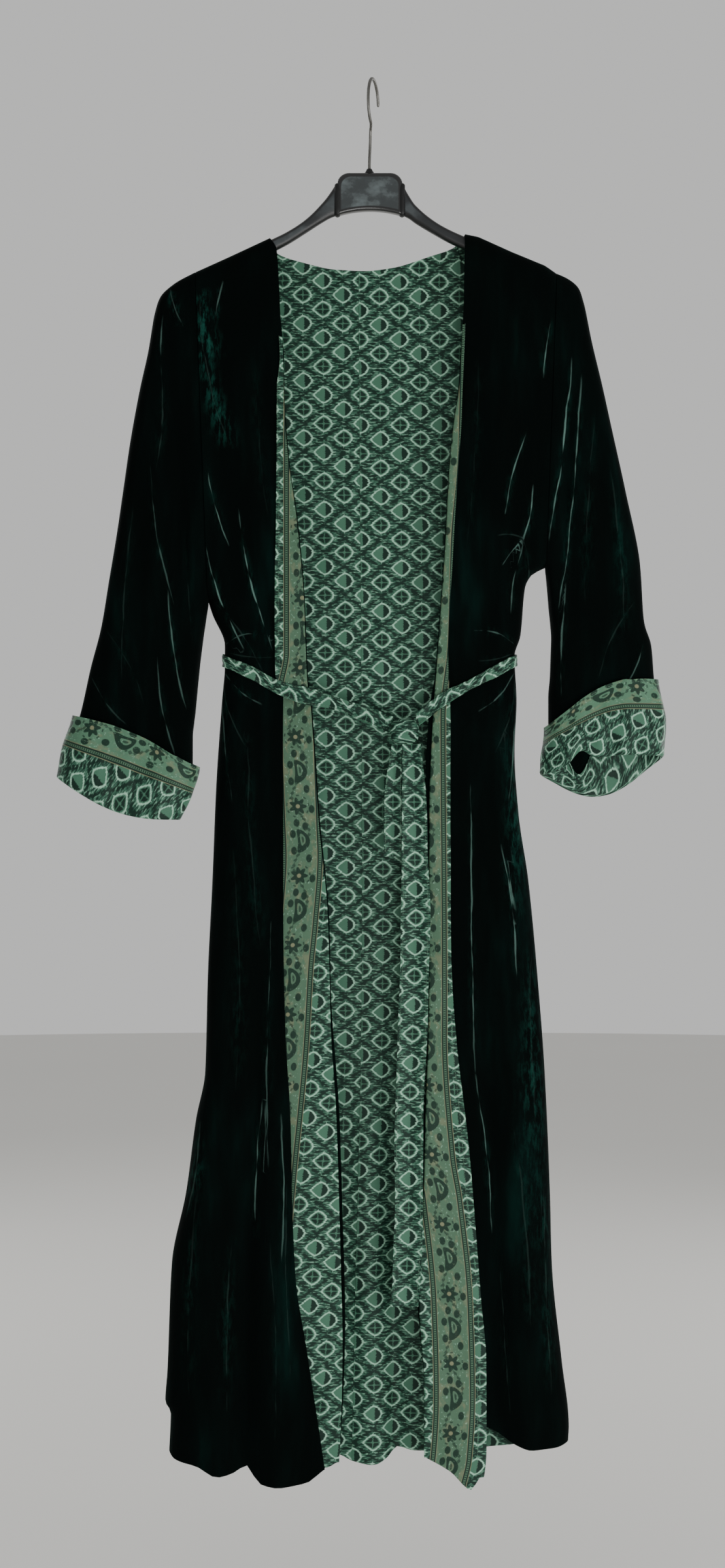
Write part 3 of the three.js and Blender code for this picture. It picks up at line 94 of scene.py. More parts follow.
SHOULDER_LINE = table(
    "x z",
    (-189.7, -205.8), (-152.6, -189.0), (-110.6, -169.4), (98.0, -165.2),
    (112.0, -168.0), (147.7, -184.1), (183.4, -198.8), (195.3, -207.2),
)
NECKLINE = table(
    "x z",
    (-110.6, -169.4), (-103.6, -182.0), (-81.2, -190.4), (-39.2, -199.5), (-10.5, -200.9),
    (18.2, -198.1), (62.3, -184.8), (87.5, -175.7), (98.0, -165.2),
)
ARMHOLES = {
    RIGHT: {"top_x": -189.7, "top_z": -205.8, "under_x": -176.4, "under_z": -555.8},
    LEFT: {"top_x": 195.3, "top_z": -207.2, "under_x": 184.1, "under_z": -520.8},
}
SIDE_SEAMS = {
    RIGHT: table(
        "z x",
        (-555.8, -176.4), (-571.2, -171.5), (-604.8, -158.2), (-626.5, -158.2), (-662.2, -161.0),
        (-753.2, -167.3), (-856.1, -171.5), (-958.3, -176.4), (-1061.2, -179.2), (-1112.3, -189.0),
        (-1189.3, -199.5), (-1266.3, -214.9), (-1383.2, -219.8), (-1413.3, -221.9),
        (-1425.2, -216.0), (-1466.5, -217.7),
    ),
    LEFT: table(
        "z x",
        (-520.8, 184.1), (-529.2, 168.7), (-543.2, 161.7), (-594.3, 156.8), (-616.0, 150.5),
        (-664.3, 152.6), (-718.2, 150.5), (-784.0, 154.7), (-856.1, 165.2), (-958.3, 175.0),
        (-1061.2, 182.7), (-1189.3, 188.3), (-1266.3, 190.4), (-1369.2, 200.9), (-1441.3, 208.6),
        (-1455.3, 207.9),
    ),
}
BODY_DEPTH = table(
    "z front back",
    (-165, 15, 15), (-420, 16, 13), (-590, 15, 11), (-645, 13, 10), (-720, 16, 11),
    (-1000, 19, 13), (-1505, 22, 15),
)
RIGHT_EDGE = table(
    "z fold lap tuck open",
    (-169.4, -110.6, -122.0, 1.5, 0), (-184.1, -102.9, -116.0, 1.5, 0), (-263.9, -98.7, -101.5, 1.5, 0),
    (-298.2, -97.3, -99.6, 1.5, 0), (-333.2, -97.0, -102.9, 1.5, 0), (-403.2, -92.4, -102.9, 1.5, 0),
    (-474.6, -82.6, -104.0, 1.5, 0), (-555.1, -75.6, -105.0, 1.5, 0), (-641.0, -72.1, -104.3, 1.5, 0),
    (-646.0, -71.7, -96.5, 1.5, 0), (-660.0, -69.2, -96.8, 1.5, 1), (-700.0, -66.0, -97.0, 18.0, 1),
    (-788.2, -60.2, -96.8, 18.0, 1), (-900.2, -49.7, -96.6, 18.0, 1), (-1012.2, -46.9, -94.5, 18.0, 1),
    (-1112.3, -40.6, -88.9, 18.0, 1), (-1208.2, -37.8, -86.8, 18.0, 1), (-1278.2, -35.7, -83.3, 18.0, 1),
    (-1348.2, -34.3, -70.7, 18.0, 1), (-1411.2, -35.5, -60.2, 18.0, 1), (-1480.0, -38.5, -50.4, 18.0, 1),
)
LEFT_EDGE = table(
    "z fold free",
    (-165.2, 98.0, 100.0), (-184.1, 97.3, 99.3), (-263.2, 95.9, 97.9), (-333.2, 92.4, 95.0),
    (-366.1, 87.5, 93.8), (-416.5, 82.5, 90.3), (-508.2, 77.5, 84.7), (-613.2, 70.0, 79.8),
    (-683.2, 65.1, 81.9), (-788.2, 60.9, 82.0), (-928.2, 60.9, 82.6), (-1033.2, 59.5, 88.9),
    (-1113.7, 56.7, 98.7), (-1173.2, 55.3, 104.5), (-1266.3, 49.6, 111.3), (-1313.2, 50.4, 114.8),
    (-1383.2, 55.3, 119.3), (-1430.8, 55.3, 119.7), (-1485.0, 55.3, 111.5),
)
EDGES = {RIGHT: RIGHT_EDGE, LEFT: LEFT_EDGE}
OUTER_END = {RIGHT: 0, LEFT: -1}
FACING_TOP = {RIGHT: -275, LEFT: -263}
BORDER_LINES = {
    RIGHT: table(
        "z x",
        (-169, -89), (-613, -89), (-655, -96), (-683, -96.6), (-793, -93.1), (-830, -91.7),
        (-900, -96.6), (-951, -101.5), (-1033, -106.4), (-1103, -112.7), (-1159, -118.3),
        (-1243, -126), (-1480, -148.4),
    ),
    LEFT: table(
        "z x",
        (-169, 62.3), (-399, 58.1), (-493, 50.4), (-605, 46.9), (-683, 39.2), (-949, 40.6),
        (-1019, 40.6), (-1148, 49.0), (-1196, 56.7), (-1309, 67.9), (-1406, 70), (-1470, 66.5),
        (-1500, 60),
    ),
}
# How far each front's near-black velvet shows past its fold beside the facing: partly the real edge, and
# widened in places as a dark strip standing for the shadowed slit by the fold.
VELVET_EDGES_AND_SLIT_SHADE = {
    RIGHT: table(
        "z shown", (-169, 0.0), (-250, 0.0), (-300, 2.2), (-640, 2.6), (-800, 3.0), (-980, 2.6),
        (-1040, 4.6), (-1300, 5.0), (-1400, 3.0), (-1480, 1.0),
    ),
    LEFT: table(
        "z shown", (-169, 0.0), (-240, 0.0), (-300, 2.0), (-640, 2.4), (-670, 6.0), (-730, 7.0),
        (-770, 4.2), (-900, 3.2), (-1080, 2.4), (-1130, 4.4), (-1260, 4.4), (-1330, 2.2), (-1480, 1.0),
    ),
}
PLEAT_TURN, PLEAT_ROOT = 1.3, 2.2
PLEAT_TURN_COLUMNS, PLEAT_BACK_COLUMNS = 8, 4
CLOSED_PLEAT_WIDTH, CLOSED_PLEAT_FADE = 5, 9
HEMS = {
    "right": table(
        "x z",
        (-217.7, -1466.5), (-212.1, -1472.1), (-187.6, -1478.4), (-165.9, -1488.9), (-149.1, -1485.4),
        (-134.0, -1478.4), (-126.0, -1490.3), (-118.3, -1498.0), (-100.8, -1500.8), (-72.1, -1496.6),
        (-51.8, -1482.0), (-38.5, -1475.6),
    ),
    "left": table(
        "x z",
        (55.0, -1463.0), (80.0, -1474.0), (103.0, -1484.0), (116.9, -1437.0), (132.3, -1443.4),
        (152.6, -1456.0), (168.7, -1460.9), (193.2, -1459.5), (207.9, -1455.3),
    ),
    "back": table(
        "x z",
        (-217.7, -1466.5), (-120.0, -1474.0), (-38.5, -1474.9), (-21.7, -1481.9), (0.0, -1485.4),
        (11.9, -1480.5), (26.6, -1467.2), (43.4, -1470.7), (100.0, -1468.0), (207.9, -1455.3),
    ),
    "facing_right": table("x z", (-67.0, -1480.0), (-50.4, -1481.0), (-38.5, -1475.5)),
    "facing_left": table("x z", (55.3, -1468.6), (82.0, -1484.0), (104.0, -1503.0), (111.5, -1490.0)),
}
SLEEVE_COLUMNS = "row out_x out_z in_x in_z depth bow_front bow_back"
SLEEVES = {
    RIGHT: table(
        SLEEVE_COLUMNS,
        (0, -189.7, -205.8, -176.4, -555.8, 15, 0, 0), (1, -212.1, -217.7, -177.6, -564.2, 15, 0, 0),
        (2, -227.5, -232.4, -179.0, -573.3, 15, 0, 0), (3, -233.1, -249.2, -180.4, -583.1, 15, 0, 0),
        (4, -240.1, -289.8, -182.0, -593.6, 15, 0, 0), (5, -249.2, -331.1, -183.8, -607.6, 15, 0, 0),
        (6, -259.7, -388.5, -185.8, -623.7, 15, 0, 0), (7, -266.7, -436.8, -187.6, -641.2, 15, 0, 0),
        (8, -273.7, -484.4, -189.3, -658.7, 15, 0, 0), (9, -282.1, -534.8, -190.8, -674.8, 15, 0, 0),
        (10, -290.5, -585.2, -192.5, -688.8, 15, 2, 2), (11, -301.7, -628.6, -193.9, -702.8, 15, 5, 5),
        (12, -314.0, -682.0, -194.0, -735.0, 15, 9, 9), (13, -326.5, -714.0, -199.0, -762.0, 17, 0, 0),
        (14, -336.5, -744.5, -209.0, -789.0, 19, -14, -14),
    ),
    LEFT: table(
        SLEEVE_COLUMNS,
        (0, 195.3, -207.2, 184.1, -520.8, 15, 0, 0), (1, 207.9, -212.8, 185.2, -528.5, 15, 0, 0),
        (2, 219.1, -222.6, 186.0, -536.5, 15, 0, 0), (3, 224.7, -238.7, 186.8, -545.5, 15, 0, 0),
        (4, 233.1, -279.3, 187.6, -555.5, 15, 0, 0), (5, 244.3, -326.2, 188.6, -567.5, 15, 0, 0),
        (6, 254.8, -373.8, 190.0, -581.5, 15, 0, 0), (7, 269.5, -440.3, 191.1, -597.0, 15, 0, 0),
        (8, 284.9, -518.0, 190.6, -614.0, 15, 0, 0), (9, 289.1, -578.2, 189.7, -639.1, 15, 4, 4),
        (10, 297.0, -606.0, 188.0, -662.0, 15, 10, 6), (11, 300.0, -642.0, 188.0, -693.0, 16, 18, 6),
        (12, 306.0, -683.0, 185.0, -716.0, 18, 14, -12), (13, 309.0, -721.0, 182.5, -741.0, 19, 9, -33),
    ),
}
CUFFS = {
    RIGHT: {"top": 12, "end": 14, "stand_off": 8},
    LEFT: {"top": 11, "end": 13, "stand_off": 5},
}
MOUTH = {"share": 0.70, "spread": 0.085, "lift": 12, "from_row": 11.9, "shorter": 0.66}
CRUMPLE = {RIGHT: 1.6, LEFT: 4.2}
CUFF_ROWS, CUFF_INSIDE_ROWS, CUFF_INSIDE_DEPTH, LIP_STEPS = 26, 16, 1.2, 8
PUCKERS = table("round down phase height", (5, 2.4, 0.6, 1.0), (9, -4.1, 2.0, 0.7), (14, 6.3, 4.4, 0.5))
PUCKER_AT_LIP = 0.8
BELT_ROUTES = {
    RIGHT: table(
        "x z width",
        (-162.0, -620.0, 12), (-130.9, -634.2, 13), (-100.0, -650.8, 17), (-70.0, -659.8, 17),
        (-50.4, -664.5, 16), (-10.5, -678.5, 16), (18.0, -690.0, 17),
    ),
    LEFT: table(
        "x z width",
        (152.0, -620.0, 12), (136.5, -629.0, 12), (103.6, -647.0, 13), (73.0, -664.3, 14),
        (48.0, -684.0, 15),
    ),
}
BELT_SIDE_Z, BELT_BACK_WIDTH, BELT_SAG = -620.0, 12, 8
BELT_FOLD_Z = -655.0
KNOT_POLE, KNOT_RINGS, KNOT_AROUND = 84, 49, 80
KNOT_TURN_WIDTH, KNOT_TURN_HEIGHT = 8.6, 1.9
BELT_LANES, BELT_BACK_LANES, TAIL_LANES = 11, 9, 15
BELT_PITCH, BELT_BACK_PITCH, TAIL_PITCH = 2.0, 2.5, 3.0
KNOT = {"x": 33, "y": -21, "z": -697.5, "width": 29, "depth": 17, "height": 26, "overlap": 2}
TAILS = {
    "long": table(
        "z x y width",
        (-711.0, 40.5, -21.5, 20), (-760.0, 42.6, -24.0, 24.5), (-816.2, 42.4, -25.0, 27.5),
        (-900.2, 44.0, -25.5, 31), (-1005.2, 43.0, -26.0, 31), (-1112.3, 38.8, -26.5, 30),
        (-1205.4, 37.0, -27.0, 30), (-1307.6, 32.0, -27.0, 29),
    ),
    "short": table(
        "z x y width",
        (-711.0, 25.5, -18.5, 12), (-767.2, 20.3, -19.0, 18), (-800.0, 19.6, -19.5, 19),
        (-830.2, 19.0, -20.0, 19),
    ),
}
CENTRE_SEAM = table("z x", (-200, -16), (-893, -12), (-1485, -23))
PRINT_SHIFTS = {RIGHT: (-4.5, 26.8), LEFT: (-0.7, 28.5)}
HEM_SPREAD, NECK_SPREAD = 220, 240
NECK_CORNER = (0, 1.2, 3.4, 7.5)
FREE_INSET, FACING_FADE = 1.2, 90
NOSE_RADIUS, NOSE_STEPS, FACING_COLUMNS = 1.2, 4, 15
LINING_BARE_COLUMNS, LINING_NECK_GAP, LINING_HEM_RISE = 6, 6, 1.2

# Rough lengths of stretches of cloth, which only say how many cells a stretch is cut into.
CHEST_LENGTH, SKIRT_LENGTH, SLEEVE_ROW_LENGTH = 330, 920, 42
FRONT_WIDTH, BEHIND_PLEAT_WIDTH = {RIGHT: 80, LEFT: 120}, 45
BACK_SHOULDER_WIDTH, BACK_NECK_WIDTH = 65, 95
SLEEVE_WIDTH, SLEEVE_FLAT = {RIGHT: 330, LEFT: 300}, 250
SHOULDER_STEPS, SIDE_STEPS, UNDERARM_STEPS, SLEEVE_STEPS, BELT_ROLL_STEPS = 8, 9, 7, 7, 8

FOLD_COLUMNS = "from_x from_z to_x to_z bow width lift reach"
FOLDS = {
    "front_right": table(
        FOLD_COLUMNS,
        (-102, -740, -140, -1478, -6, 11, -5, 1), (-176, -1000, -166, -1489, -10, 20, 7, 1),
        (-106, -1060, -103, -1500, -8, 15, 5, 1), (-150, -250, -118, -600, 6, 14, 3, 0),
    ),
    "front_left": table(
        FOLD_COLUMNS,
        (128, -760, 164, -1461, 6, 15, 5, 1), (104, -753, 130, -1445, 4, 11, -4, 1),
        (150, -240, 116, -600, -5, 14, 3, 0),
    ),
    "back": table(
        FOLD_COLUMNS,
        (24, -760, 26, -1470, -6, 11, 5, 1), (-12, -1000, -2, -1485, 0, 16, -5, 1),
        (64, -900, 74, -1470, 0, 18, -4, 1), (-90, -800, -110, -1474, 0, 24, -5, 1),
        (130, -800, 150, -1464, 0, 24, -5, 1),
    ),
    "sleeve_right": table(
        FOLD_COLUMNS,
        (-232, -300, -250, -680, 8, 12, 4, 0), (-206, -330, -216, -690, 4, 9, -4, 0),
    ),
    "sleeve_left": table(
        FOLD_COLUMNS,
        (224, -300, 250, -650, -8, 12, 4, 0), (206, -300, 214, -640, -4, 9, -4, 0),
    ),
}


# ------------------------------------------------------------------ creases placed one by one

# A crease runs along a bowed line. `lift` is its ridge (above 0) or trough (below 0), `crush` how much
# painted highlight spreads round it, partly the lighter look of pressed pile, and `glint` how bright the
# painted highlight line on its ridge is.
CREASE_SETS = 3
CREASE_COLUMNS = "from_x from_z to_x to_z bow width lift crush glint"
CREASES = {
    "front_right": table(
        CREASE_COLUMNS,
        (-185, -232, -152, -396, 8, 8.0, 1.8, 1.30, 0.10),
        (-183, -226, -170, -300, 2, 9.0, 1.0, 1.10, 0.00),
        (-160, -218, -168, -262, 2, 3.0, 1.0, 0.50, 0.50),
        (-176, -417, -154, -498, 3, 3.4, 1.6, 0.25, 0.83),
        (-143, -462, -107, -614, 5, 3.6, 1.9, 0.27, 0.90),
        (-178, -500, -138, -610, 5, 4.0, 2.0, 0.25, 0.83),
        (-168, -560, -118, -634, -4, 3.6, -2.0, 0.11, 0.09),
        (-158, -604, -112, -596, -6, 3.4, 1.8, 0.18, 0.28),
        (-158, -612, -104, -618, 3, 3.0, -1.7, 0.09, 0.07),
        (-158, -634, -118, -668, 5, 3.6, 1.9, 0.20, 0.34),
        (-160, -640, -136, -712, 6, 4.0, -2.0, 0.11, 0.09),
        (-161, -650, -150, -770, 3, 4.4, 2.0, 0.18, 0.30),
        (-126, -300, -112, -468, 3, 6.0, -1.4, 0.10, 0.03),
        (-133, -700, -120, -930, 4, 7.0, 1.6, 0.16, 0.06),
        (-150, -820, -146, -1080, -5, 8.0, -1.8, 0.12, 0.04),
        (-108, -900, -112, -1160, 3, 5.0, 1.5, 0.10, 0.33),
        (-184, -1112, -199, -1216, -3, 7.0, 2.2, 0.50, 0.17),
        (-186, -1180, -196, -1400, 4, 7.0, -2.2, 0.18, 0.06),
        (-118, -1090, -126, -1240, 2, 3.6, 1.5, 0.18, 0.60),
        (-99, -1104, -97, -1260, -2, 3.0, 1.3, 0.15, 0.51),
        (-93, -1180, -88, -1384, 2, 3.0, -1.4, 0.09, 0.07),
        (-110, -1240, -104, -1450, -3, 5.0, -1.8, 0.08, 0.06),
        (-150, -1230, -156, -1420, 3, 6.0, 1.8, 0.22, 0.08),
    ),
    "front_left": table(
        CREASE_COLUMNS,
        (190, -256, 182, -318, 2, 4.0, 1.5, 0.32, 0.95),
        (162, -380, 141, -466, 3, 3.6, 1.7, 0.27, 0.90),
        (170, -436, 160, -494, -2, 3.2, 1.6, 0.32, 0.95),
        (160, -492, 138, -520, 2, 3.4, 1.5, 0.20, 0.68),
        (160, -492, 164, -548, -3, 3.6, -1.6, 0.14, 0.10),
        (160, -492, 132, -488, 3, 3.2, -1.4, 0.14, 0.10),
        (160, -496, 146, -572, 3, 3.8, 1.8, 0.16, 0.52),
        (152, -604, 108, -590, 5, 3.6, 1.8, 0.18, 0.40),
        (150, -612, 112, -622, -3, 3.0, -1.6, 0.09, 0.07),
        (150, -634, 112, -676, -5, 3.6, 1.9, 0.20, 0.40),
        (151, -640, 128, -722, -5, 4.0, -2.0, 0.10, 0.08),
        (151, -650, 142, -780, -3, 4.4, 1.8, 0.15, 0.51),
        (112, -300, 100, -500, -3, 6.0, -1.4, 0.10, 0.03),
        (136, -820, 152, -958, -4, 3.6, 1.7, 0.21, 0.69),
        (104, -753, 108, -1061, 2, 3.4, 1.5, 0.15, 0.51),
        (108, -1061, 127, -1232, -3, 3.6, 1.6, 0.18, 0.60),
        (143, -700, 152, -900, -4, 9.0, 0.8, 0.60, 0.00),
        (168, -930, 178, -1250, 4, 12.0, 0.8, 0.45, 0.00),
        (168, -880, 172, -1120, 3, 7.0, -1.8, 0.14, 0.05),
        (150, -1120, 166, -1330, -4, 6.0, 1.8, 0.20, 0.07),
        (182, -1180, 190, -1400, 3, 6.0, 1.9, 0.24, 0.08),
        (136, -1260, 146, -1420, 2, 4.0, -1.6, 0.07, 0.06),
    ),
    "back": table(
        CREASE_COLUMNS,
        (-160, -618, -90, -560, 8, 6.0, 2.2, 0.40, 0.14),
        (-158, -634, -84, -700, -8, 6.0, 2.2, 0.40, 0.14),
        (-158, -640, -120, -790, -6, 7.0, -2.4, 0.20, 0.07),
        (150, -618, 86, -566, -8, 6.0, 2.2, 0.40, 0.14),
        (150, -634, 80, -704, 8, 6.0, 2.2, 0.40, 0.14),
        (150, -642, 116, -780, 6, 7.0, -2.4, 0.20, 0.07),
        (-182, -250, -128, -420, 8, 9.0, 1.8, 0.55, 0.19),
        (184, -250, 130, -430, -8, 9.0, 1.8, 0.55, 0.19),
        (-170, -470, -110, -588, 5, 6.0, 1.8, 0.35, 0.12),
        (166, -450, 108, -590, -5, 6.0, 1.8, 0.35, 0.12),
        (-60, -860, -64, -1120, 4, 8.0, 1.8, 0.20, 0.07),
        (-150, -960, -170, -1300, -6, 9.0, 2.2, 0.26, 0.09),
        (100, -960, 118, -1240, 5, 8.0, 2.0, 0.24, 0.08),
        (176, -1020, 186, -1380, 4, 9.0, 2.2, 0.26, 0.09),
        (-40, -1130, -46, -1420, 3, 7.0, 1.8, 0.20, 0.07),
    ),
    "sleeve_right": table(
        CREASE_COLUMNS,
        (-216, -226, -204, -262, 2, 5.0, 1.2, 0.80, 0.30),
        (-224, -258, -226, -300, 1, 4.0, 1.2, 0.20, 0.45),
        (-226, -300, -232, -420, -5, 6.0, 1.8, 0.10, 0.12),
        (-237, -417, -212, -560, 6, 4.2, 1.9, 0.14, 0.35),
        (-218, -548, -200, -672, 3, 3.4, 1.7, 0.22, 0.60),
        (-200, -470, -192, -600, 2, 4.0, -1.8, 0.06, 0.05),
        (-256, -460, -268, -640, 3, 6.0, 1.8, 0.08, 0.08),
        (-284, -590, -244, -668, -5, 5.0, -1.9, 0.06, 0.04),
        (-300, -640, -262, -690, 4, 4.4, 1.6, 0.10, 0.16),
        (-230, -620, -212, -724, 3, 4.0, 1.7, 0.14, 0.40),
    ),
    "sleeve_left": table(
        CREASE_COLUMNS,
        (211, -300, 187, -492, -3, 4.0, 1.9, 0.28, 0.93),
        (221, -319, 198, -566, -4, 4.2, 1.9, 0.26, 0.87),
        (236, -360, 226, -560, 3, 6.0, -1.9, 0.16, 0.06),
        (252, -420, 268, -590, -3, 6.0, 1.8, 0.24, 0.08),
        (206, -540, 200, -660, 2, 4.0, 1.7, 0.15, 0.51),
        (278, -560, 240, -640, 5, 5.0, -1.9, 0.09, 0.07),
        (288, -600, 262, -660, -3, 4.4, 1.6, 0.12, 0.39),
    ),
}


# ------------------------------------------------------------------ reading tables, shaping cloth

def lerp(a, b, t):
    return a + (b - a) * t


def smooth(t):
    t = np.clip(t, 0, 1)
    return t * t * (3 - 2 * t)


def roll(t):
    """A quarter ellipse: 0 at an edge, 1 once the cloth has turned into its flat."""
    return np.sqrt(1 - (1 - np.clip(t, 0, 1)) ** 2)


def roll_stops(width, turns):
    return width * (1 - np.cos(np.arange(turns + 1) / turns * np.pi / 2))


def along(rows, by, at, column):
    """One column of a table at a place, along a smooth curve that never overshoots its rows."""
    places, values = rows[by], rows[column]
    if places[0] > places[-1]:
        places, values = places[::-1], values[::-1]
    slope = np.diff(values) / np.diff(places)
    before, after = np.r_[slope[0], slope], np.r_[slope, slope[-1]]
    agree = before * after > 0
    tangent = np.where(agree, 2 * before * after / np.where(agree, before + after, 1), 0)
    k = np.clip(np.searchsorted(places, at, side="right") - 1, 0, len(places) - 2)
    width = places[k + 1] - places[k]
    t = np.clip((at - places[k]) / width, 0, 1)
    bend = tangent[k] * width * t * (1 - t) ** 2 - tangent[k + 1] * width * t * t * (1 - t)
    return values[k] + (values[k + 1] - values[k]) * t * t * (3 - 2 * t) + bend


def by_side(x, right, left):
    return np.where(np.asarray(x) < 0, right, left)


def shoulder_z(x):
    return np.interp(x, SHOULDER_LINE["x"], SHOULDER_LINE["z"])


def circle(steps):
    """Angles once round, without the last."""
    return np.linspace(0, 2 * np.pi, steps, endpoint=False)


def fold_lift(folds, x, z):
    total = np.zeros(np.broadcast(x, z).shape)
    for from_x, from_z, to_x, to_z, bow, width, lift, reach in zip(*folds.values()):
        t = (z - from_z) / (to_z - from_z)
        inside = np.clip(t, 0, 1)
        centre = lerp(from_x, to_x, t) + bow * np.sin(np.pi * inside)
        fade = smooth(t * 1.6) if reach else np.sin(np.pi * inside) ** 2
        total += np.where(t > 0, lift * fade * np.exp(-(((x - centre) / width) ** 2)), 0)
    return total


def crease_length(creases, k):
    return math.hypot(creases["to_x"][k] - creases["from_x"][k], creases["to_z"][k] - creases["from_z"][k])


def crease_place(creases, k, x, z):
    """Signed distance from crease number k, and how far along it from 0 to 1."""
    from_x, from_z, to_x, to_z, bow = (creases[name][k] for name in CREASE_COLUMNS.split()[:5])
    dx, dz = to_x - from_x, to_z - from_z
    length = math.hypot(dx, dz)
    t = ((x - from_x) * dx + (z - from_z) * dz) / length**2
    across = ((x - from_x) * dz - (z - from_z) * dx) / length
    return across - bow * np.sin(np.pi * np.clip(t, 0, 1)), t


def crease_field(creases, x, z, column):
    """The sum of a crease list's `lift`, or of `crush`, its painted highlight, at each point."""
    total = np.zeros(np.broadcast(x, z).shape)
    for k in range(len(creases["from_x"])):
        across, t = crease_place(creases, k, x, z)
        inside = np.clip(t, 0, 1)
        fade = np.sin(np.pi * inside) ** 0.6 * (0.75 + 0.25 * np.sin(t * 9 + k))
        width = creases["width"][k] * (0.7 + 0.5 * inside)
        total += creases[column][k] * fade * np.exp(-((across / width) ** 2))
    return total


def cloth_lift(name, x, z):
    """How far the folds and creases of one piece of velvet stand out."""
    return fold_lift(FOLDS[name], x, z) + crease_field(CREASES[name], x, z, "lift")


def unevenness(x, z, seed):
    """Slow waves, no two alike, that keep hung cloth from lying flat."""
    waves = ((61, 173, 0.3), (43, -129, 1.1), (97, 71, 2.3), (-37, 211, 4.0), (29, 83, 5.2))
    total = 0
    for k, (across, up, phase) in enumerate(waves):
        total = total + np.sin(2 * np.pi * (x / across + z / up) + phase + seed * (k + 1)) / (k + 2)
    return 0.55 * total


# ------------------------------------------------------------------ the body's surfaces

def side_x(side, z):
    hole = ARMHOLES[side]
    share = (z - hole["under_z"]) / (hole["top_z"] - hole["under_z"])
    up = lerp(hole["under_x"], hole["top_x"], share)
    return np.where(z > hole["under_z"], up, along(SIDE_SEAMS[side], "z", z, "x"))


def armhole_open(side, z):
    rise = z - ARMHOLES[side]["under_z"]
    return np.where(rise < -SEAM, 0, np.maximum(roll(rise / UNDERARM_ROLL), UNDERARM_GAPE))


def body_y(face, x, z):
    x, z = np.broadcast_arrays(np.asarray(x, float), np.asarray(z, float))
    inset = by_side(x, x - side_x(RIGHT, z), side_x(LEFT, z) - x)
    at_side = roll(inset / SIDE_ROLL)
    at_shoulder = roll((shoulder_z(x) - z) / SHOULDER_ROLL)
    opened = by_side(x, armhole_open(RIGHT, z), armhole_open(LEFT, z))
    flat = along(BODY_DEPTH, "z", z, "front" if face == FRONT else "back") * at_shoulder
    flat = flat * lerp(at_side, 1, opened)
    if face == BACK:
        lift = cloth_lift("back", x, z)
    else:
        lift = by_side(x, cloth_lift("front_right", x, z), cloth_lift("front_left", x, z))
    lift = lift + unevenness(x, z, 1 + face)
    return face * (SEAM / 2 + flat + lift * at_side * at_shoulder)


def on_body(face, x, z, off, step=0.4):
    """Points on the front or back, moved out along the cloth's normal, measured over `step`."""
    y = body_y(face, x, z)
    dx = (body_y(face, x + step, z) - body_y(face, x - step, z)) / (2 * step)
    dz = (body_y(face, x, z + step) - body_y(face, x, z - step)) / (2 * step)
    normal = np.stack([-dx, np.ones_like(dx), -dz], -1)
    normal /= np.linalg.norm(normal, axis=-1, keepdims=True)
    return np.stack([x, y, z], -1) + face * np.broadcast_to(off, y.shape)[..., None] * normal


def on_sleeve(side, face, row, share):
    """Points on the hanging sleeve: `row` down its table, `share` from outer to inner edge."""
    rows = SLEEVES[side]
    value = {name: along(rows, "row", row, name) for name in rows}
    width = np.hypot(value["out_x"] - value["in_x"], value["out_z"] - value["in_z"])
    bow = value["bow_front" if face == FRONT else "bow_back"] * np.sin(np.pi * share)
    x = lerp(value["out_x"], value["in_x"], share)
    if side == LEFT and face == FRONT:
        caught = smooth((row - MOUTH["from_row"]) / (CUFFS[LEFT]["end"] - MOUTH["from_row"]))
        bow = bow + MOUTH["lift"] * caught * np.exp(-(((share - MOUTH["share"]) / MOUTH["spread"]) ** 2))
    z = lerp(value["out_z"], value["in_z"], share) + bow
    hanging = smooth(row / 3)
    outer = roll(share * width / lerp(SHOULDER_ROLL, SLEEVE_ROLL, hanging))
    inner = roll((1 - share) * width / lerp(UNDERARM_ROLL, SLEEVE_ROLL, hanging))
    lift = cloth_lift(f"sleeve_{WORDS[side]}", x, z) + unevenness(x, z, 3 + face)
    lift = lift * outer * inner * hanging
    seam = side * ARMHOLE_GAP * (1 - smooth(row))
    return np.stack([x + seam, face * (value["depth"] * outer * inner + lift), z], -1)


# ------------------------------------------------------------------ grids of mid points

def cells(length, size):
    return max(2, int(round(length / size)))


def body_rows(side, cell):
    """Heights down one side, from the shoulder's tip to the hem. Both sides have as many."""
    hole = ARMHOLES[side]
    hem = HEMS[WORDS[side]]["z"][OUTER_END[side]]
    shoulder = hole["top_z"] - roll_stops(SHOULDER_ROLL, SHOULDER_STEPS)
    underarm = hole["under_z"] + roll_stops(UNDERARM_ROLL, UNDERARM_STEPS)[::-1]
    chest = np.linspace(shoulder[-1], underarm[0], cells(CHEST_LENGTH, cell))[1:-1]
    skirt = np.linspace(hole["under_z"], hem, cells(SKIRT_LENGTH, cell))[1:]
    return np.r_[shoulder, chest, underarm, hole["under_z"] - 1.01 * SEAM, skirt]


def row_z(height, top, hem, top_line, hem_line):
    neck = (top_line - top) * (1 - smooth((top - height) / NECK_SPREAD))
    wave = (hem_line - hem) * smooth((hem + HEM_SPREAD - height) / HEM_SPREAD)
    return height + neck + wave


def edge_height(rows, neck_z):
    return rows + (neck_z - rows[0]) * (1 - smooth((rows[0] - rows) / NECK_SPREAD))


def stack_columns(*groups):
    return np.concatenate([np.atleast_2d(group) for group in groups], axis=1)


def between(start, end, steps):
    """Columns from one line to another, without the first."""
    share = np.arange(1, steps + 1) / steps
    return start[:, None] + (end - start)[:, None] * share


def velvet_end(side, level):
    """Where a front's velvet ends: a little past the fold, so that a dark edge shows by the facing, widened
    in places where it stands for the shadow in the slit there.
    """
    fold = along(EDGES[side], "z", level, "fold")
    return fold - side * np.interp(-level, -VELVET_EDGES_AND_SLIT_SHADE[side]["z"], VELVET_EDGES_AND_SLIT_SHADE[side]["shown"])


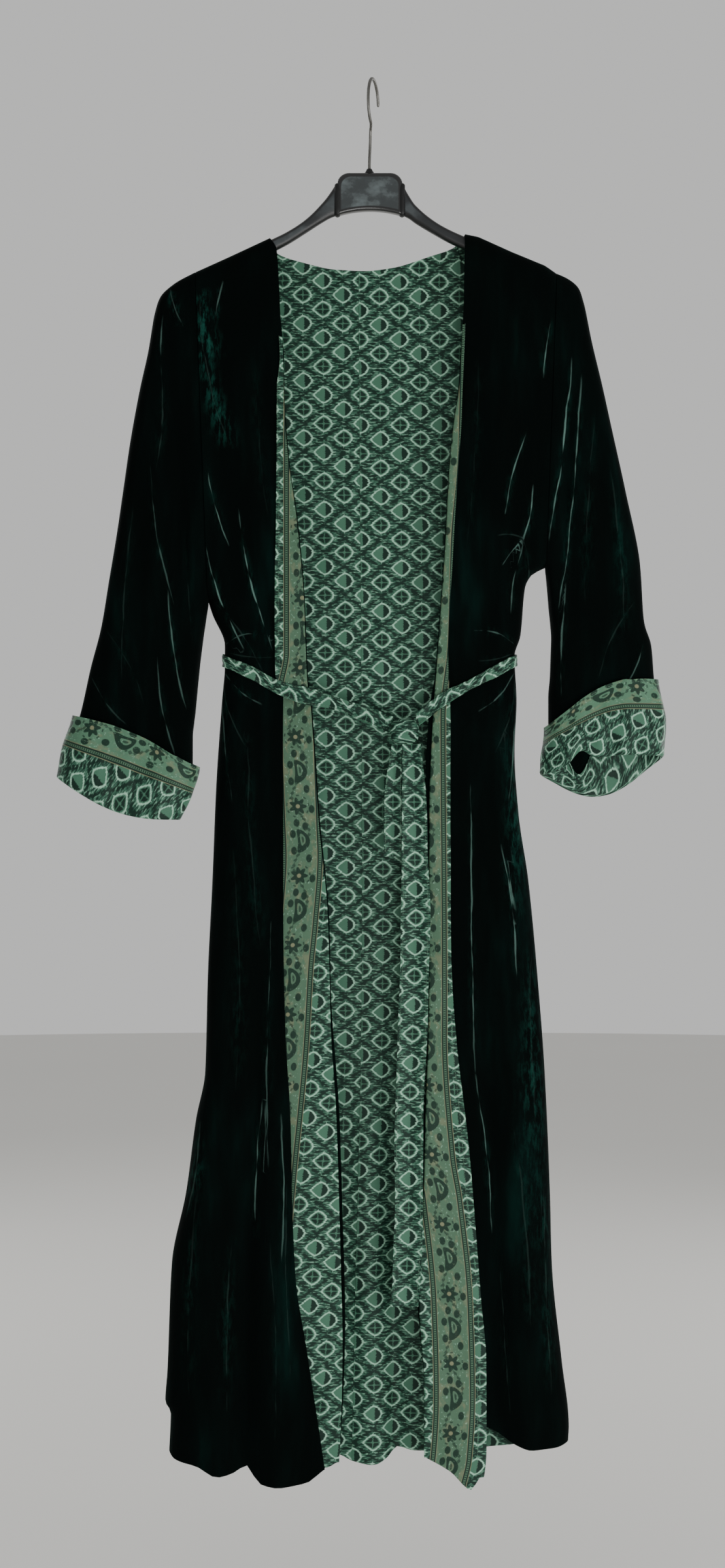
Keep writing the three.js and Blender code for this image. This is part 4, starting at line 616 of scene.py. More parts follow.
def pleat_turns(level):
    """Place across and drop in depth of the pleat's turns, from its front to its back layer."""
    fold, lap, tuck, opened = (
        along(RIGHT_EDGE, "z", level, name)[:, None] for name in ("fold", "lap", "tuck", "open")
    )
    root = lap - PLEAT_TURN - tuck
    turn = np.linspace(-np.pi / 2, np.pi / 2, PLEAT_TURN_COLUMNS)
    back = np.linspace(0, 1, PLEAT_BACK_COLUMNS + 2)[1:-1]
    x = stack_columns(
        lap - PLEAT_TURN + PLEAT_TURN * np.cos(turn),
        lerp(lap - PLEAT_TURN, root, back),
        root - PLEAT_ROOT * np.cos(turn),
    )
    drop = np.r_[
        PLEAT_TURN * (1 + np.sin(turn)),
        np.full(len(back), 2 * PLEAT_TURN),
        2 * PLEAT_TURN + PLEAT_ROOT * (1 + np.sin(turn)),
    ]
    spread = np.minimum(1, (fold - lap) / CLOSED_PLEAT_FADE) * CLOSED_PLEAT_WIDTH
    flat = lap + spread * np.linspace(0, 1, x.shape[1])
    return lerp(flat, x, opened), drop * opened


def front_sheet(side, rows, x, drop):
    """Points of a front over a table of places across, one row for each height."""
    hem = HEMS[WORDS[side]]
    z = row_z(rows[:, None], rows[0], rows[-1], shoulder_z(x), along(hem, "x", x, "z"))
    return np.stack([x, body_y(FRONT, x, z) + drop, z], -1)


def front_grid(side, cell):
    rows = body_rows(side, cell)
    outer = side_x(side, rows)
    stops = outer[:, None] - side * roll_stops(SIDE_ROLL, SIDE_STEPS)
    inner = outer - side * SIDE_ROLL
    level = edge_height(rows, NECKLINE["z"][OUTER_END[side]])
    if side == LEFT:
        x = stack_columns(stops, between(inner, velvet_end(side, level), cells(FRONT_WIDTH[side], cell)))
        return front_sheet(side, rows, x, 0)
    turns, drop = pleat_turns(level)
    plain = between(inner, turns[:, 0], cells(FRONT_WIDTH[side], cell))[:, :-1]
    behind = between(turns[:, -1], velvet_end(side, level), cells(BEHIND_PLEAT_WIDTH, cell))
    x = stack_columns(stops, plain, turns, behind)
    depth = stack_columns(0 * stops, 0 * plain, drop, 0 * behind + drop[:, -1:])
    return front_sheet(side, rows, x, depth)


def back_columns(side, rows, cell):
    outer = side_x(side, rows)
    centre = along(CENTRE_SEAM, "z", rows, "x")
    top_edge = ARMHOLES[side]["top_x"] - side * SIDE_ROLL
    neck_point = NECKLINE["x"][OUTER_END[side]]
    span = CENTRE_SEAM["x"][0] - top_edge
    corner = [(neck_point - side * inset - top_edge) / span for inset in NECK_CORNER]
    shares = np.r_[
        np.linspace(0, corner[0], cells(BACK_SHOULDER_WIDTH, cell))[:-1],
        corner,
        np.linspace(corner[-1], 1, cells(BACK_NECK_WIDTH, cell))[1:],
    ]
    inner = lerp((outer - side * SIDE_ROLL)[:, None], centre[:, None], shares)
    return stack_columns(outer[:, None] - side * roll_stops(SIDE_ROLL, SIDE_STEPS)[:-1], inner)


def back_grid(cell):
    """The back's points, and the index of its centre column."""
    rows = {side: body_rows(side, cell) for side in (RIGHT, LEFT)}
    right, left = back_columns(RIGHT, rows[RIGHT], cell), back_columns(LEFT, rows[LEFT], cell)
    x = stack_columns(right, left[:, ::-1][:, 1:])
    share = (x - x[:, :1]) / (x[:, -1:] - x[:, :1])
    height = lerp(rows[RIGHT][:, None], rows[LEFT][:, None], share)
    top = lerp(rows[RIGHT][0], rows[LEFT][0], share)
    hem = lerp(rows[RIGHT][-1], rows[LEFT][-1], share)
    top_line = np.where(within_neck(x, 0), along(NECKLINE, "x", x, "z"), shoulder_z(x))
    z = row_z(height, top, hem, top_line, along(HEMS["back"], "x", x, "z"))
    return np.stack([x, body_y(BACK, x, z), z], -1), right.shape[1] - 1


def grid_normals(grid, closed=False, flat=None):
    """Unit normals of a grid. `flat` maps an axis to the mask of edge points with no part of it."""
    if closed:
        across = np.roll(grid, -1, 1) - np.roll(grid, 1, 1)
    else:
        across = np.gradient(grid, axis=1)
    normal = np.cross(np.gradient(grid, axis=0), across)
    for axis, mask in (flat or {}).items():
        normal[mask, axis] = 0
    return normal / np.maximum(np.linalg.norm(normal, axis=-1, keepdims=True), 1e-9)


def toward(normals, axis, sign):
    """The same normals, turned to one side of an axis."""
    return normals * np.where(normals[..., axis:axis + 1] * sign >= 0, 1, -1)


def within_neck(x, gap):
    """True between the neck's two points, by at least `gap`."""
    return (x > NECKLINE["x"][0] + gap) & (x < NECKLINE["x"][-1] - gap)


def lining_grid(side, cell):
    panel, centre = back_grid(cell)
    inward = panel + toward(grid_normals(panel), 1, -1) * UNDER_VELVET
    bare = LINING_BARE_COLUMNS
    half = inward[:, bare:centre + 1] if side == RIGHT else inward[:, centre:-bare]
    half = half.copy()
    half[:, -1 if side == RIGHT else 0, 0] += side * SEAM / 2
    at_neck = within_neck(half[0, :, 0], LINING_NECK_GAP)
    half[0] = np.where(at_neck[:, None], half[1], half[0])
    half[-1, :, 2] += LINING_HEM_RISE
    first = int(np.argmax(panel[:, 0, 2] < ARMHOLES[side]["top_z"] - SHOULDER_ROLL))
    start = np.where(at_neck, 0, first)
    rows = np.arange(len(half))[:, None]
    rows = np.round(lerp(start[None, :], len(half) - 1, rows / (len(half) - 1))).astype(int)
    return half[rows, np.arange(half.shape[1])[None, :]]


def facing_grid(side, cell):
    """The turned-out facing, from its free edge to its roll over the folded edge."""
    every = body_rows(side, cell)
    level = edge_height(every, NECKLINE["z"][OUTER_END[side]])
    fold = along(EDGES[side], "z", level, "fold")
    if side == RIGHT:
        turns, drop = pleat_turns(level)
        free = lerp(turns[:, 0], turns[:, -1] + FREE_INSET, along(RIGHT_EDGE, "z", level, "open"))
        depth = drop[:, -1]
    else:
        free = along(LEFT_EDGE, "z", level, "free")
        depth = 0 * fold
    shown = level < FACING_TOP[side]
    rows, fold, free, depth = every[shown], fold[shown], free[shown], depth[shown]
    x = lerp(free[:, None], fold[:, None], np.linspace(0, 1, FACING_COLUMNS))
    own, hem = HEMS[f"facing_{WORDS[side]}"], HEMS[WORDS[side]]
    z = row_z(rows[:, None], every[0], every[-1], shoulder_z(x), along(hem, "x", x, "z"))
    sheet = np.stack([x, body_y(FRONT, x, z) + depth[:, None], z], -1)
    fade = smooth((every[-1] + FACING_FADE - rows) / FACING_FADE)[:, None]
    normals = toward(grid_normals(sheet), 1, -1)
    sheet = sheet + normals * (ON_VELVET + SEAM * fade)[..., None]
    turn = np.linspace(0, 1.0, NOSE_STEPS + 1)[1:]
    nose = np.minimum(NOSE_RADIUS, np.abs(fold - free) / 3)[:, None]
    tip = np.repeat(sheet[:, -1:], len(turn), axis=1)
    tip[..., 0] -= side * nose * np.sin(turn)
    tip[..., 1] += nose * (1 - np.cos(turn))
    sheet = np.concatenate([sheet, tip], axis=1)
    places = sheet[..., 0]
    sheet[..., 2] += (along(own, "x", places, "z") - along(hem, "x", places, "z")) * fade
    return sheet


def ring_shares(side, cell):
    """Places across a sleeve, closer together where it turns at its edges."""
    outer = roll_stops(SLEEVE_ROLL / SLEEVE_WIDTH[side], SLEEVE_STEPS)
    inner = 1 - outer[::-1]
    return np.r_[outer, np.linspace(outer[-1], inner[0], cells(SLEEVE_FLAT, cell) + 1)[1:-1], inner]


def sleeve_rings(side, row, cell):
    """Rings round a sleeve, down the front and up the back, one for each row value."""
    shares = ring_shares(side, cell)
    front = on_sleeve(side, FRONT, row[:, None], shares[None, :])
    back = on_sleeve(side, BACK, row[:, None], shares[None, 1:-1])[:, ::-1]
    return np.concatenate([front, back], axis=1)


def sleeve_grid(side, cell):
    end = CUFFS[side]["end"]
    return sleeve_rings(side, np.linspace(0, end, cells(end * SLEEVE_ROW_LENGTH, cell)), cell)


def cuff_grid(side, cell):
    """Down outside the sleeve, round its end, and a short way back up inside."""
    cuff = CUFFS[side]
    outside_rows = np.linspace(cuff["top"], cuff["end"], CUFF_ROWS)
    rings = sleeve_rings(side, outside_rows, cell)
    normals = grid_normals(rings, closed=True)
    middle = rings.mean(axis=1, keepdims=True)
    away = np.sign(((rings - middle) * normals).sum(axis=(1, 2)).mean())
    normals = normals * away
    rise = (cuff["end"] - outside_rows) / (cuff["end"] - cuff["top"])
    stand = UNDER_VELVET + (cuff["stand_off"] - UNDER_VELVET) * rise
    lower = 1 - rise[:, None]
    puckers = sum(
        height * np.sin(waves * circle(rings.shape[1]) + down * lower + phase)
        for waves, down, phase, height in zip(*PUCKERS.values())
    )
    puckers = CRUMPLE[side] * np.clip(0.4 + 0.45 * puckers, 0, 1.2) * smooth(lower * 1.3)
    outside = rings + normals * (stand[:, None] + puckers)[..., None]
    rings = rings + normals * puckers[..., None] * PUCKER_AT_LIP
    down = rings[-1] - rings[-2]
    down /= np.linalg.norm(down, axis=-1, keepdims=True)
    turn = np.linspace(0, np.pi, LIP_STEPS + 1)[1:-1, None, None]
    lip = rings[-1] + UNDER_VELVET * (normals[-1] * np.cos(turn) + down * np.sin(turn))
    inside_rows = cuff["end"] - np.linspace(0, CUFF_INSIDE_DEPTH, CUFF_INSIDE_ROWS)
    inner = sleeve_rings(side, inside_rows, cell)
    if side == LEFT:
        shares = ring_shares(side, cell)
        dip = np.exp(-(((shares[1:-1][::-1] - MOUTH["share"]) / MOUTH["spread"]) ** 2) / 2)
        reach = 1 - MOUTH["shorter"] * np.r_[np.zeros(len(shares)), dip]
        level = np.arange(len(inner))[:, None] * reach
        below = np.minimum(level.astype(int), len(inner) - 2)
        column = np.arange(inner.shape[1])[None, :]
        inner = lerp(inner[below, column], inner[below + 1, column], (level - below)[..., None])
    inside = inner - toward_like(grid_normals(inner, closed=True), normals[-1]) * UNDER_VELVET
    return np.concatenate([outside, lip, inside], axis=0)


def toward_like(normals, guide):
    """The same normals, turned to the side that a guide points to."""
    return normals * np.where((normals * guide).sum(-1, keepdims=True) >= 0, 1, -1)


def belt_front_grid(side):
    route, edges = BELT_ROUTES[side], EDGES[side]
    start = float(side_x(side, np.array(route["z"][0])))
    fold = float(along(edges, "z", np.array(BELT_FOLD_Z), "fold"))
    knot_side = KNOT["x"] + side * (KNOT["width"] / 2 - KNOT["overlap"])
    reach = abs(start - knot_side)
    free_stops = np.arange(SIDE_ROLL + BELT_PITCH, reach, BELT_PITCH)
    stops = np.r_[roll_stops(SIDE_ROLL, BELT_ROLL_STEPS), free_stops, reach]
    lane = np.linspace(-0.5, 0.5, BELT_LANES)[:, None]
    x = start - side * stops[None, :] + 0 * lane
    z = along(route, "x", x, "z") + lane * along(route, "x", x, "width")
    z = z + 0.9 * np.sin(x / 11.0 + 3 * lane) * np.minimum(1, stops / 40)
    free = along(edges, "z", z, "lap" if side == RIGHT else "free")
    lifted = smooth((side * (free - x) + 14) / 10)
    off = lerp(BELT_ON_VELVET, BELT_ON_FACING, lifted) + 0.5 * np.cos(2 * np.pi * lane + x / 17)
    clear = np.clip(side * (fold - x) / abs(fold - knot_side), 0, 1)
    before_fold = side * np.maximum(side * x, side * fold)
    held_x = np.where(stops < SIDE_ROLL, side_x(side, z) - side * stops, before_fold)
    place = on_body(FRONT, held_x, z, off)
    place[:, 0, 1] = body_y(FRONT, held_x[:, 0], z[:, 0])
    place[:, 0, 0] = held_x[:, 0] + side * off[:, 0]
    place[..., 1] = lerp(place[..., 1], KNOT["y"] + 3 * np.cos(np.pi * lane), smooth(clear))
    place[..., 0] = np.where(clear > 0, x, place[..., 0])
    return place


def belt_back_grid():
    right, left = (float(side_x(side, np.array(BELT_SIDE_Z))) for side in (RIGHT, LEFT))
    span = left - right
    edge = roll_stops(SIDE_ROLL, BELT_ROLL_STEPS)
    free_stops = np.arange(SIDE_ROLL + BELT_BACK_PITCH, span - SIDE_ROLL, BELT_BACK_PITCH)
    stops = np.r_[edge, free_stops, span - edge[::-1]]
    lane = np.linspace(-0.5, 0.5, BELT_BACK_LANES)[:, None]
    share = stops / span + 0 * lane
    z = BELT_SIDE_Z - BELT_SAG * np.sin(np.pi * share) + lane * BELT_BACK_WIDTH
    x = np.where(share < 0.5, side_x(RIGHT, z) + stops, side_x(LEFT, z) - (span - stops))
    off = BELT_ON_VELVET + 0.35 * np.cos(2 * np.pi * lane + x / 23)
    place = on_body(BACK, x, z, off)
    for column, side in ((0, RIGHT), (-1, LEFT)):
        place[:, column, 1] = body_y(BACK, x[:, column], z[:, column])
        place[:, column, 0] = x[:, column] + side * off[:, column]
    return place


def tail_grid(name):
    rows = TAILS[name]
    top, foot = rows["z"][0], rows["z"][-1]
    z = np.linspace(top, foot, cells(top - foot, TAIL_PITCH))[:, None]
    across = np.linspace(-0.5, 0.5, TAIL_LANES)[None, :]
    value = {column: along(rows, "z", z, column) for column in rows}
    ripple = 1.2 * np.cos(2 * np.pi * across) + 0.5 * np.sin(z / 13 + 5 * across)
    sway = 1.4 * np.sin((top - z) / 74) * smooth((top - z) / 90)
    x = value["x"] + across * value["width"] * (1 - 0.02 * np.cos(z / 19)) + sway
    y = value["y"] + ripple + 1.1 * np.sin(z / 47) * across
    return np.stack([x, y, z + 0 * x], -1)


# ------------------------------------------------------------------ meshes

SHARP_ANGLE = math.radians(50)


def link(name, data):
    """A new object in the scene."""
    obj = bpy.data.objects.new(name, data)
    bpy.context.scene.collection.objects.link(obj)
    return obj


def new_object(name, positions, faces, materials, face_materials=None, uv=None, values=None):
    """A smooth-shaded object at the origin. `uv` has one pair for each face corner."""
    mesh = bpy.data.meshes.new(name)
    mesh.from_pydata((np.asarray(positions) * MM).tolist(), [], [list(face) for face in faces])
    for material in materials:
        mesh.materials.append(material)
    if face_materials is not None:
        mesh.polygons.foreach_set("material_index", np.asarray(face_materials, np.int32))
    if uv is not None:
        layer = mesh.uv_layers.new(name="cut")
        layer.data.foreach_set("uv", np.asarray(uv, np.float32).ravel())
    for key, data in (values or {}).items():
        attribute = mesh.attributes.new(key, "FLOAT", "POINT")
        attribute.data.foreach_set("value", np.asarray(data, np.float32))
    mesh.shade_smooth()
    mesh.set_sharp_from_angle(angle=SHARP_ANGLE)
    mesh.update()
    return link(name, mesh)


def signed_volume(positions, faces):
    a, b, c = (positions[faces[:, k]] for k in range(3))
    d = positions[faces[:, 3]]
    return float((a * np.cross(b, c)).sum() + (a * np.cross(c, d)).sum())


def cut_uv(grid, closed, across_from, along_from=0):
    """Flat sizes of a grid in metres: across from a column, down from a row."""
    ring = np.concatenate([grid, grid[:, :1]], axis=1) if closed else grid
    steps = np.linalg.norm(np.diff(ring, axis=1), axis=-1)
    u = np.concatenate([np.zeros((len(grid), 1)), np.cumsum(steps, axis=1)], axis=1)
    u = u - u[:, across_from:across_from + 1]
    down = np.linalg.norm(np.diff(ring, axis=0), axis=-1)
    v = np.concatenate([np.zeros((1, ring.shape[1])), np.cumsum(down, axis=0)], axis=0)
    v = v[:, across_from % ring.shape[1]][:, None] + 0 * u
    return np.stack([u, v[along_from] - v], -1) * MM


def hung_uv(grid, across_from):
    """Flat places on upright cloth in metres: across from a column along the folds, and height."""
    steps = np.hypot(np.diff(grid[..., 0], axis=1), np.diff(grid[..., 1], axis=1))
    u = np.concatenate([np.zeros((len(grid), 1)), np.cumsum(steps, axis=1)], axis=1)
    u = u - u[:, across_from:across_from + 1]
    return np.stack([u, grid[..., 2]], -1) * MM


def shell(name, grid, thickness, materials, closed=False, flat=None, uv=None, values=None, outward=1):
    """A closed wall of cloth through a grid: outside, inside and rim each with a material.

    `outward` is 1 where the grid's own normals point out of the robe and -1 where they point in."""
    rows, columns = grid.shape[:2]
    normals = grid_normals(grid, closed, flat) * outward
    half = normals * thickness / 2
    positions = np.concatenate([grid + half, grid - half]).reshape(-1, 3)
    spans = columns if closed else columns - 1
    j, i = np.meshgrid(np.arange(rows - 1), np.arange(spans), indexing="ij")
    j, i = j.ravel(), i.ravel()
    corners = [(j, i), (j + 1, i), (j + 1, i + 1), (j, i + 1)]

    def at(face, row, column):
        return face * rows * columns + row * columns + column % columns

    outside = [(0, r, c) for r, c in corners]
    inside = [(1, r, c) for r, c in (corners[0], corners[3], corners[2], corners[1])]
    k = np.arange(spans)
    low, last = 0 * k, 0 * k + rows - 1
    rims = [
        [(0, low, k + 1), (1, low, k + 1), (1, low, k), (0, low, k)],
        [(0, last, k), (1, last, k), (1, last, k + 1), (0, last, k + 1)],
    ]
    if not closed:
        m = np.arange(rows - 1)
        near, far = 0 * m, 0 * m + columns - 1
        rims += [
            [(0, m, near), (1, m, near), (1, m + 1, near), (0, m + 1, near)],
            [(0, m + 1, far), (1, m + 1, far), (1, m, far), (0, m, far)],
        ]
    groups = [outside, inside, *rims]
    faces = np.concatenate([np.stack([at(*corner) for corner in group], -1) for group in groups])
    face_uv = np.concatenate([
        np.stack([uv[row, np.minimum(column, uv.shape[1] - 1)] for _, row, column in group], 1)
        for group in groups
    ])
    kind = np.concatenate([np.full(len(group[0][1]), min(n, 2)) for n, group in enumerate(groups)])
    if signed_volume(positions, faces) < 0:
        faces, face_uv = faces[:, ::-1], face_uv[:, ::-1]
    doubled = {key: np.tile(np.asarray(data).ravel(), 2) for key, data in (values or {}).items()}
    return new_object(name, positions, faces, materials, kind, face_uv.reshape(-1, 2), doubled)


def declare(obj, node):
    """Fixes a cloth piece to the frame and hides the frame's part of that name."""
    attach(obj, "root")
    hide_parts(node)


# ------------------------------------------------------------------ finishes

def colour(code):
    """A linear colour from a hex code."""
    parts = [int(code[k:k + 2], 16) / 255 for k in (1, 3, 5)]
    return [part / 12.92 if part <= 0.04045 else ((part + 0.055) / 1.055) ** 2.4 for part in parts]


class Finish:
    """One material, with short words for its nodes. A node's answer is fed on as a socket."""

    def __init__(self, name, sockets):
        self.material = bpy.data.materials.new(name)
        self.material.use_nodes = True
        self.nodes = self.material.node_tree.nodes
        self.links = self.material.node_tree.links
        self.surface = self.nodes["Principled BSDF"]
        for key, value in sockets.items():
            self.feed(self.surface.inputs[key], value)

    def feed(self, socket, value):
        if isinstance(value, bpy.types.NodeSocket):
            self.links.new(value, socket)
        elif socket.type == "RGBA":
            socket.default_value = (*value[:3], 1)
        else:
            socket.default_value = value

    def node(self, kind, feeds, **settings):
        made = self.nodes.new(kind)
        for key, value in settings.items():
            setattr(made, key, value)
        for key, value in feeds.items():
            self.feed(made.inputs[key], value)
        return made

    def math(self, operation, *values):
        return self.node("ShaderNodeMath", dict(enumerate(values)), operation=operation).outputs[0]

    def add(self, a, b):
        return self.math("ADD", a, b)

    def times(self, a, b):
        return self.math("MULTIPLY", a, b)

    def most(self, first, *others):
        for other in others:
            first = self.math("MAXIMUM", first, other)
        return first

    def mix(self, share, a, b):
        feeds = {0: share, 6: a, 7: b}
        return self.node("ShaderNodeMix", feeds, data_type="RGBA").outputs[2]

    def step(self, value, start, end):
        """0 before start, 1 after end, softly."""
        feeds = {0: value, 1: start, 2: end, 3: 0.0, 4: 1.0}
        return self.node("ShaderNodeMapRange", feeds, interpolation_type="SMOOTHSTEP").outputs[0]

    def band(self, value, start, end, edge=0.25):
        """1 between start and end, 0 outside."""
        inside = self.step(value, start - edge, start + edge)
        return self.times(inside, self.step(value, end + edge, end - edge))

    def vector(self, x, y, z=0.0):
        return self.node("ShaderNodeCombineXYZ", {0: x, 1: y, 2: z}).outputs[0]

    def noise(self, vector, scale, detail=2.0, roughness=0.5):
        feeds = {"Vector": vector, "Scale": scale, "Detail": detail, "Roughness": roughness}
        return self.node("ShaderNodeTexNoise", feeds).outputs[0]

    def cloud(self, across, along_it, across_scale, along_scale, detail=2.0, roughness=0.5):
        """Noise over the flat cloth, its waves per millimetre set for each direction."""
        places = self.vector(self.times(across, across_scale), self.times(along_it, along_scale))
        return self.noise(places, 1.0, detail, roughness)

    def wave(self, along_it, length):
        """A sine of that wavelength in millimetres."""
        return self.math("SINE", self.times(along_it, 2 * math.pi / length))

    def cut(self):
        """Places on the flat cloth in millimetres: across and along."""
        made = self.node("ShaderNodeUVMap", {}, uv_map="cut").outputs[0]
        split = self.node("ShaderNodeSeparateXYZ", {0: made}).outputs
        return self.times(split[0], 1000.0), self.times(split[1], 1000.0)

    def value(self, name):
        return self.node("ShaderNodeAttribute", {}, attribute_name=name).outputs["Fac"]

    def place(self, scale):
        made = self.node("ShaderNodeTexCoord", {}).outputs["Object"]
        return self.node("ShaderNodeMapping", {"Vector": made, "Scale": scale}).outputs[0]

    def facing(self, start, end):
        """1 where the surface looks straight forward or back, 0 at its edges; a mask for painting light and
        shade by which way the surface faces.
        """
        normal = self.node("ShaderNodeTexCoord", {}).outputs["Normal"]
        ahead = self.node("ShaderNodeSeparateXYZ", {0: normal}).outputs[1]
        return self.step(self.math("ABSOLUTE", ahead), start, end)

    def bump(self, height, strength, distance, under=None):
        feeds = {"Height": height, "Strength": strength, "Distance": distance}
        if under is not None:
            feeds["Normal"] = under
        return self.node("ShaderNodeBump", feeds).outputs[0]

    def paint(self, base, roughness=None, normal=None):
        self.feed(self.surface.inputs["Base Color"], base)
        if roughness is not None:
            self.feed(self.surface.inputs["Roughness"], roughness)
        if normal is not None:
            self.feed(self.surface.inputs["Normal"], normal)
        return self.material


PALE, MID, DARK = colour("#8db69e"), colour("#3d6450"), colour("#0a241b")
GROUND, STREAK = colour("#345a48"), colour("#133227")
OLIVE, BEIGE, SAGE, INK = colour("#44614c"), colour("#6c7056"), colour("#4a6e57"), colour("#08241a")


def eye_motif(f, across, along_it, pitch, shift):
    """One lattice of pointed eyes, spaced `pitch` (across, along), moved by `shift` of its pitch.

    Returns how far each place lies out from its eye, in rims and in cells, and the eye's own look."""
    columns = f.add(f.math("DIVIDE", across, pitch[0]), shift)
    rows = f.add(f.math("DIVIDE", along_it, pitch[1]), shift)
    column, row = f.math("FLOOR", columns), f.math("FLOOR", rows)
    x = f.times(f.add(f.math("SUBTRACT", columns, column), -0.5), pitch[0])
    y = f.times(f.math("ABSOLUTE", f.add(f.math("SUBTRACT", rows, row), -0.5)), pitch[1])
    wide = f.math("ABSOLUTE", x)
    on_left = f.step(x, 0.8, -0.8)
    power = f.add(f.times(on_left, -0.40), 1.60)
    far_x = f.math("POWER", f.math("DIVIDE", wide, f.add(f.times(on_left, 1.2), 9.9)), power)
    far_y = f.math("POWER", f.math("DIVIDE", y, 9.1), power)
    far = f.math("POWER", f.add(far_x, far_y), f.math("DIVIDE", 1.0, power))
    tail = f.step(f.add(f.math("DIVIDE", wide, 14.5), f.math("DIVIDE", y, 2.6)), 1.05, 0.8)
    tip = f.step(f.add(f.math("DIVIDE", wide, 2.0), f.math("DIVIDE", y, 11.6)), 1.05, 0.85)
    spurs = f.times(f.most(f.times(tail, 0.8), tip), f.step(far, 0.86, 0.96))
    parity = f.math("FLOORED_MODULO", f.add(f.add(row, column), 1.0 if shift == 0 else 0.0), 2.0)
    cross = f.step(f.math("MINIMUM", wide, y), 0.75, 0.35)
    lobes = f.times(f.step(far, 0.72, 0.64), f.add(f.times(cross, -0.8), 1.0))
    heart = f.step(f.add(wide, y), 2.4, 1.5)
    flower = f.mix(heart, f.mix(lobes, MID, DARK), MID)
    halved = f.mix(f.step(x, 1.2, 2.0), MID, DARK)
    cell = f.add(f.math("DIVIDE", wide, pitch[0] / 2), f.math("DIVIDE", y, pitch[1] / 2))
    return far, cell, spurs, f.mix(parity, flower, halved)


def trellis_print(f, across, along_it, settings):
    """A half-drop of pale-rimmed eyes, each in a diamond of dark feathered bands and short streaks."""
    pitch = (2 * settings.print_width / MM, settings.print_height / MM)
    feather = f.cloud(across, along_it, 0.10, 0.95, 1.0)
    x = f.add(across, f.times(f.add(feather, -0.5), 3.4))
    far, cell, spurs, fill = eye_motif(f, x, along_it, pitch, 0.0)
    other_far, other_cell, other_spurs, other_fill = eye_motif(f, x, along_it, pitch, 0.5)
    near_other = f.step(f.math("SUBTRACT", other_far, far), 0.02, -0.02)
    fill = f.mix(near_other, fill, other_fill)
    far = f.math("MINIMUM", far, other_far)
    rim = f.most(f.band(far, 0.82, 1.00, 0.06), spurs, other_spurs)
    streak = f.cloud(across, along_it, 0.15, 0.52, 2.0, 0.6)
    edge = f.add(f.math("MINIMUM", cell, other_cell), f.times(f.add(streak, -0.5), -1.1))
    ground = f.mix(f.step(streak, 0.56, 0.42), GROUND, STREAK)
    light_streak = f.times(f.step(streak, 0.56, 0.68), 0.45)
    ground = f.mix(light_streak, ground, PALE)
    ground = f.mix(f.step(edge, 0.78, 0.94), ground, DARK)
    return f.mix(rim, f.mix(f.step(far, 0.94, 0.86), ground, fill), PALE)


# Each leaf's distance from the border's middle in millimetres, and its share of the way down a repeat.
BORDER_LEAVES = ((4.5, 0.29), (-9.0, 0.40), (7.5, 0.75), (-8.5, 0.64), (12.0, 0.04), (-4.5, 0.24))


def border_print(f, across, along_it, settings, ground):
    """Star flowers, paisley curls and leaves on a blotched ground; `across` is 0 in the middle."""
    repeat = settings.border_repeat / MM

    def down(shift):
        rows = f.add(f.math("DIVIDE", along_it, repeat), shift)
        return f.times(f.add(f.math("SUBTRACT", rows, f.math("FLOOR", rows)), -0.5), repeat)

    def oval(x, y, half_x, half_y):
        a, b = f.math("DIVIDE", x, half_x), f.math("DIVIDE", y, half_y)
        return f.math("SQRT", f.add(f.times(a, a), f.times(b, b)))

    cloud = f.cloud(across, along_it, 0.11, 0.06, 3.0, 0.6)
    base = f.mix(f.times(f.step(cloud, 0.50, 0.66), 0.6), ground, BEIGE)
    fleck = f.cloud(across, along_it, 0.42, 0.30, 2.0, 0.6)
    base = f.mix(f.times(f.step(fleck, 0.60, 0.70), 0.5), base, PALE)
    x, y = f.add(across, 2.5), down(0.0)
    radius_of_flower, petal_turn = oval(x, y, 1.0, 1.0), f.math("ARCTAN2", y, x)
    petals = f.times(f.math("COSINE", f.times(petal_turn, 7.0)), 1.9)
    flower = f.step(f.math("SUBTRACT", radius_of_flower, f.add(petals, 7.6)), 0.6, -0.5)
    heart = f.step(radius_of_flower, 2.6, 1.8)
    x, y = f.add(across, -2.5), down(0.5)
    bent = f.add(x, f.times(f.times(y, y), 0.035))
    curl = oval(bent, y, 6.4, 12.5)
    inner_x, inner_y = f.add(bent, 1.0), f.add(y, -1.5)
    paisley = f.times(f.step(curl, 1.06, 0.96), f.step(oval(inner_x, inner_y, 3.0, 6.6), 0.9, 1.0))
    seed = f.step(oval(inner_x, inner_y, 1.2, 3.4), 1.1, 0.9)
    leaves = [
        f.step(oval(f.add(across, -side), down(shift), 3.2, 4.4), 1.1, 0.85)
        for side, shift in BORDER_LEAVES
    ]
    turns = f.wave(down(0.12), repeat)
    stem_gap = f.math("ABSOLUTE", f.add(across, f.times(turns, 8.5)))
    thorns = f.times(f.wave(along_it, 5.5), 0.8)
    stem = f.step(f.math("SUBTRACT", stem_gap, thorns), 1.5, 0.6)
    petal_dots = f.band(radius_of_flower, 10.8, 12.4, 0.4)
    dots = f.times(petal_dots, f.step(f.math("SINE", f.times(petal_turn, 9.0)), 0.1, 0.6))
    drawn = f.most(flower, paisley, f.times(seed, 0.8), f.times(stem, 0.75), f.times(dots, 0.8), *leaves)
    worn = f.cloud(across, along_it, 0.5, 0.5)
    drawn = f.times(drawn, f.step(worn, 0.20, 0.40))
    return f.mix(heart, f.mix(f.times(drawn, 0.94), base, INK), BEIGE)


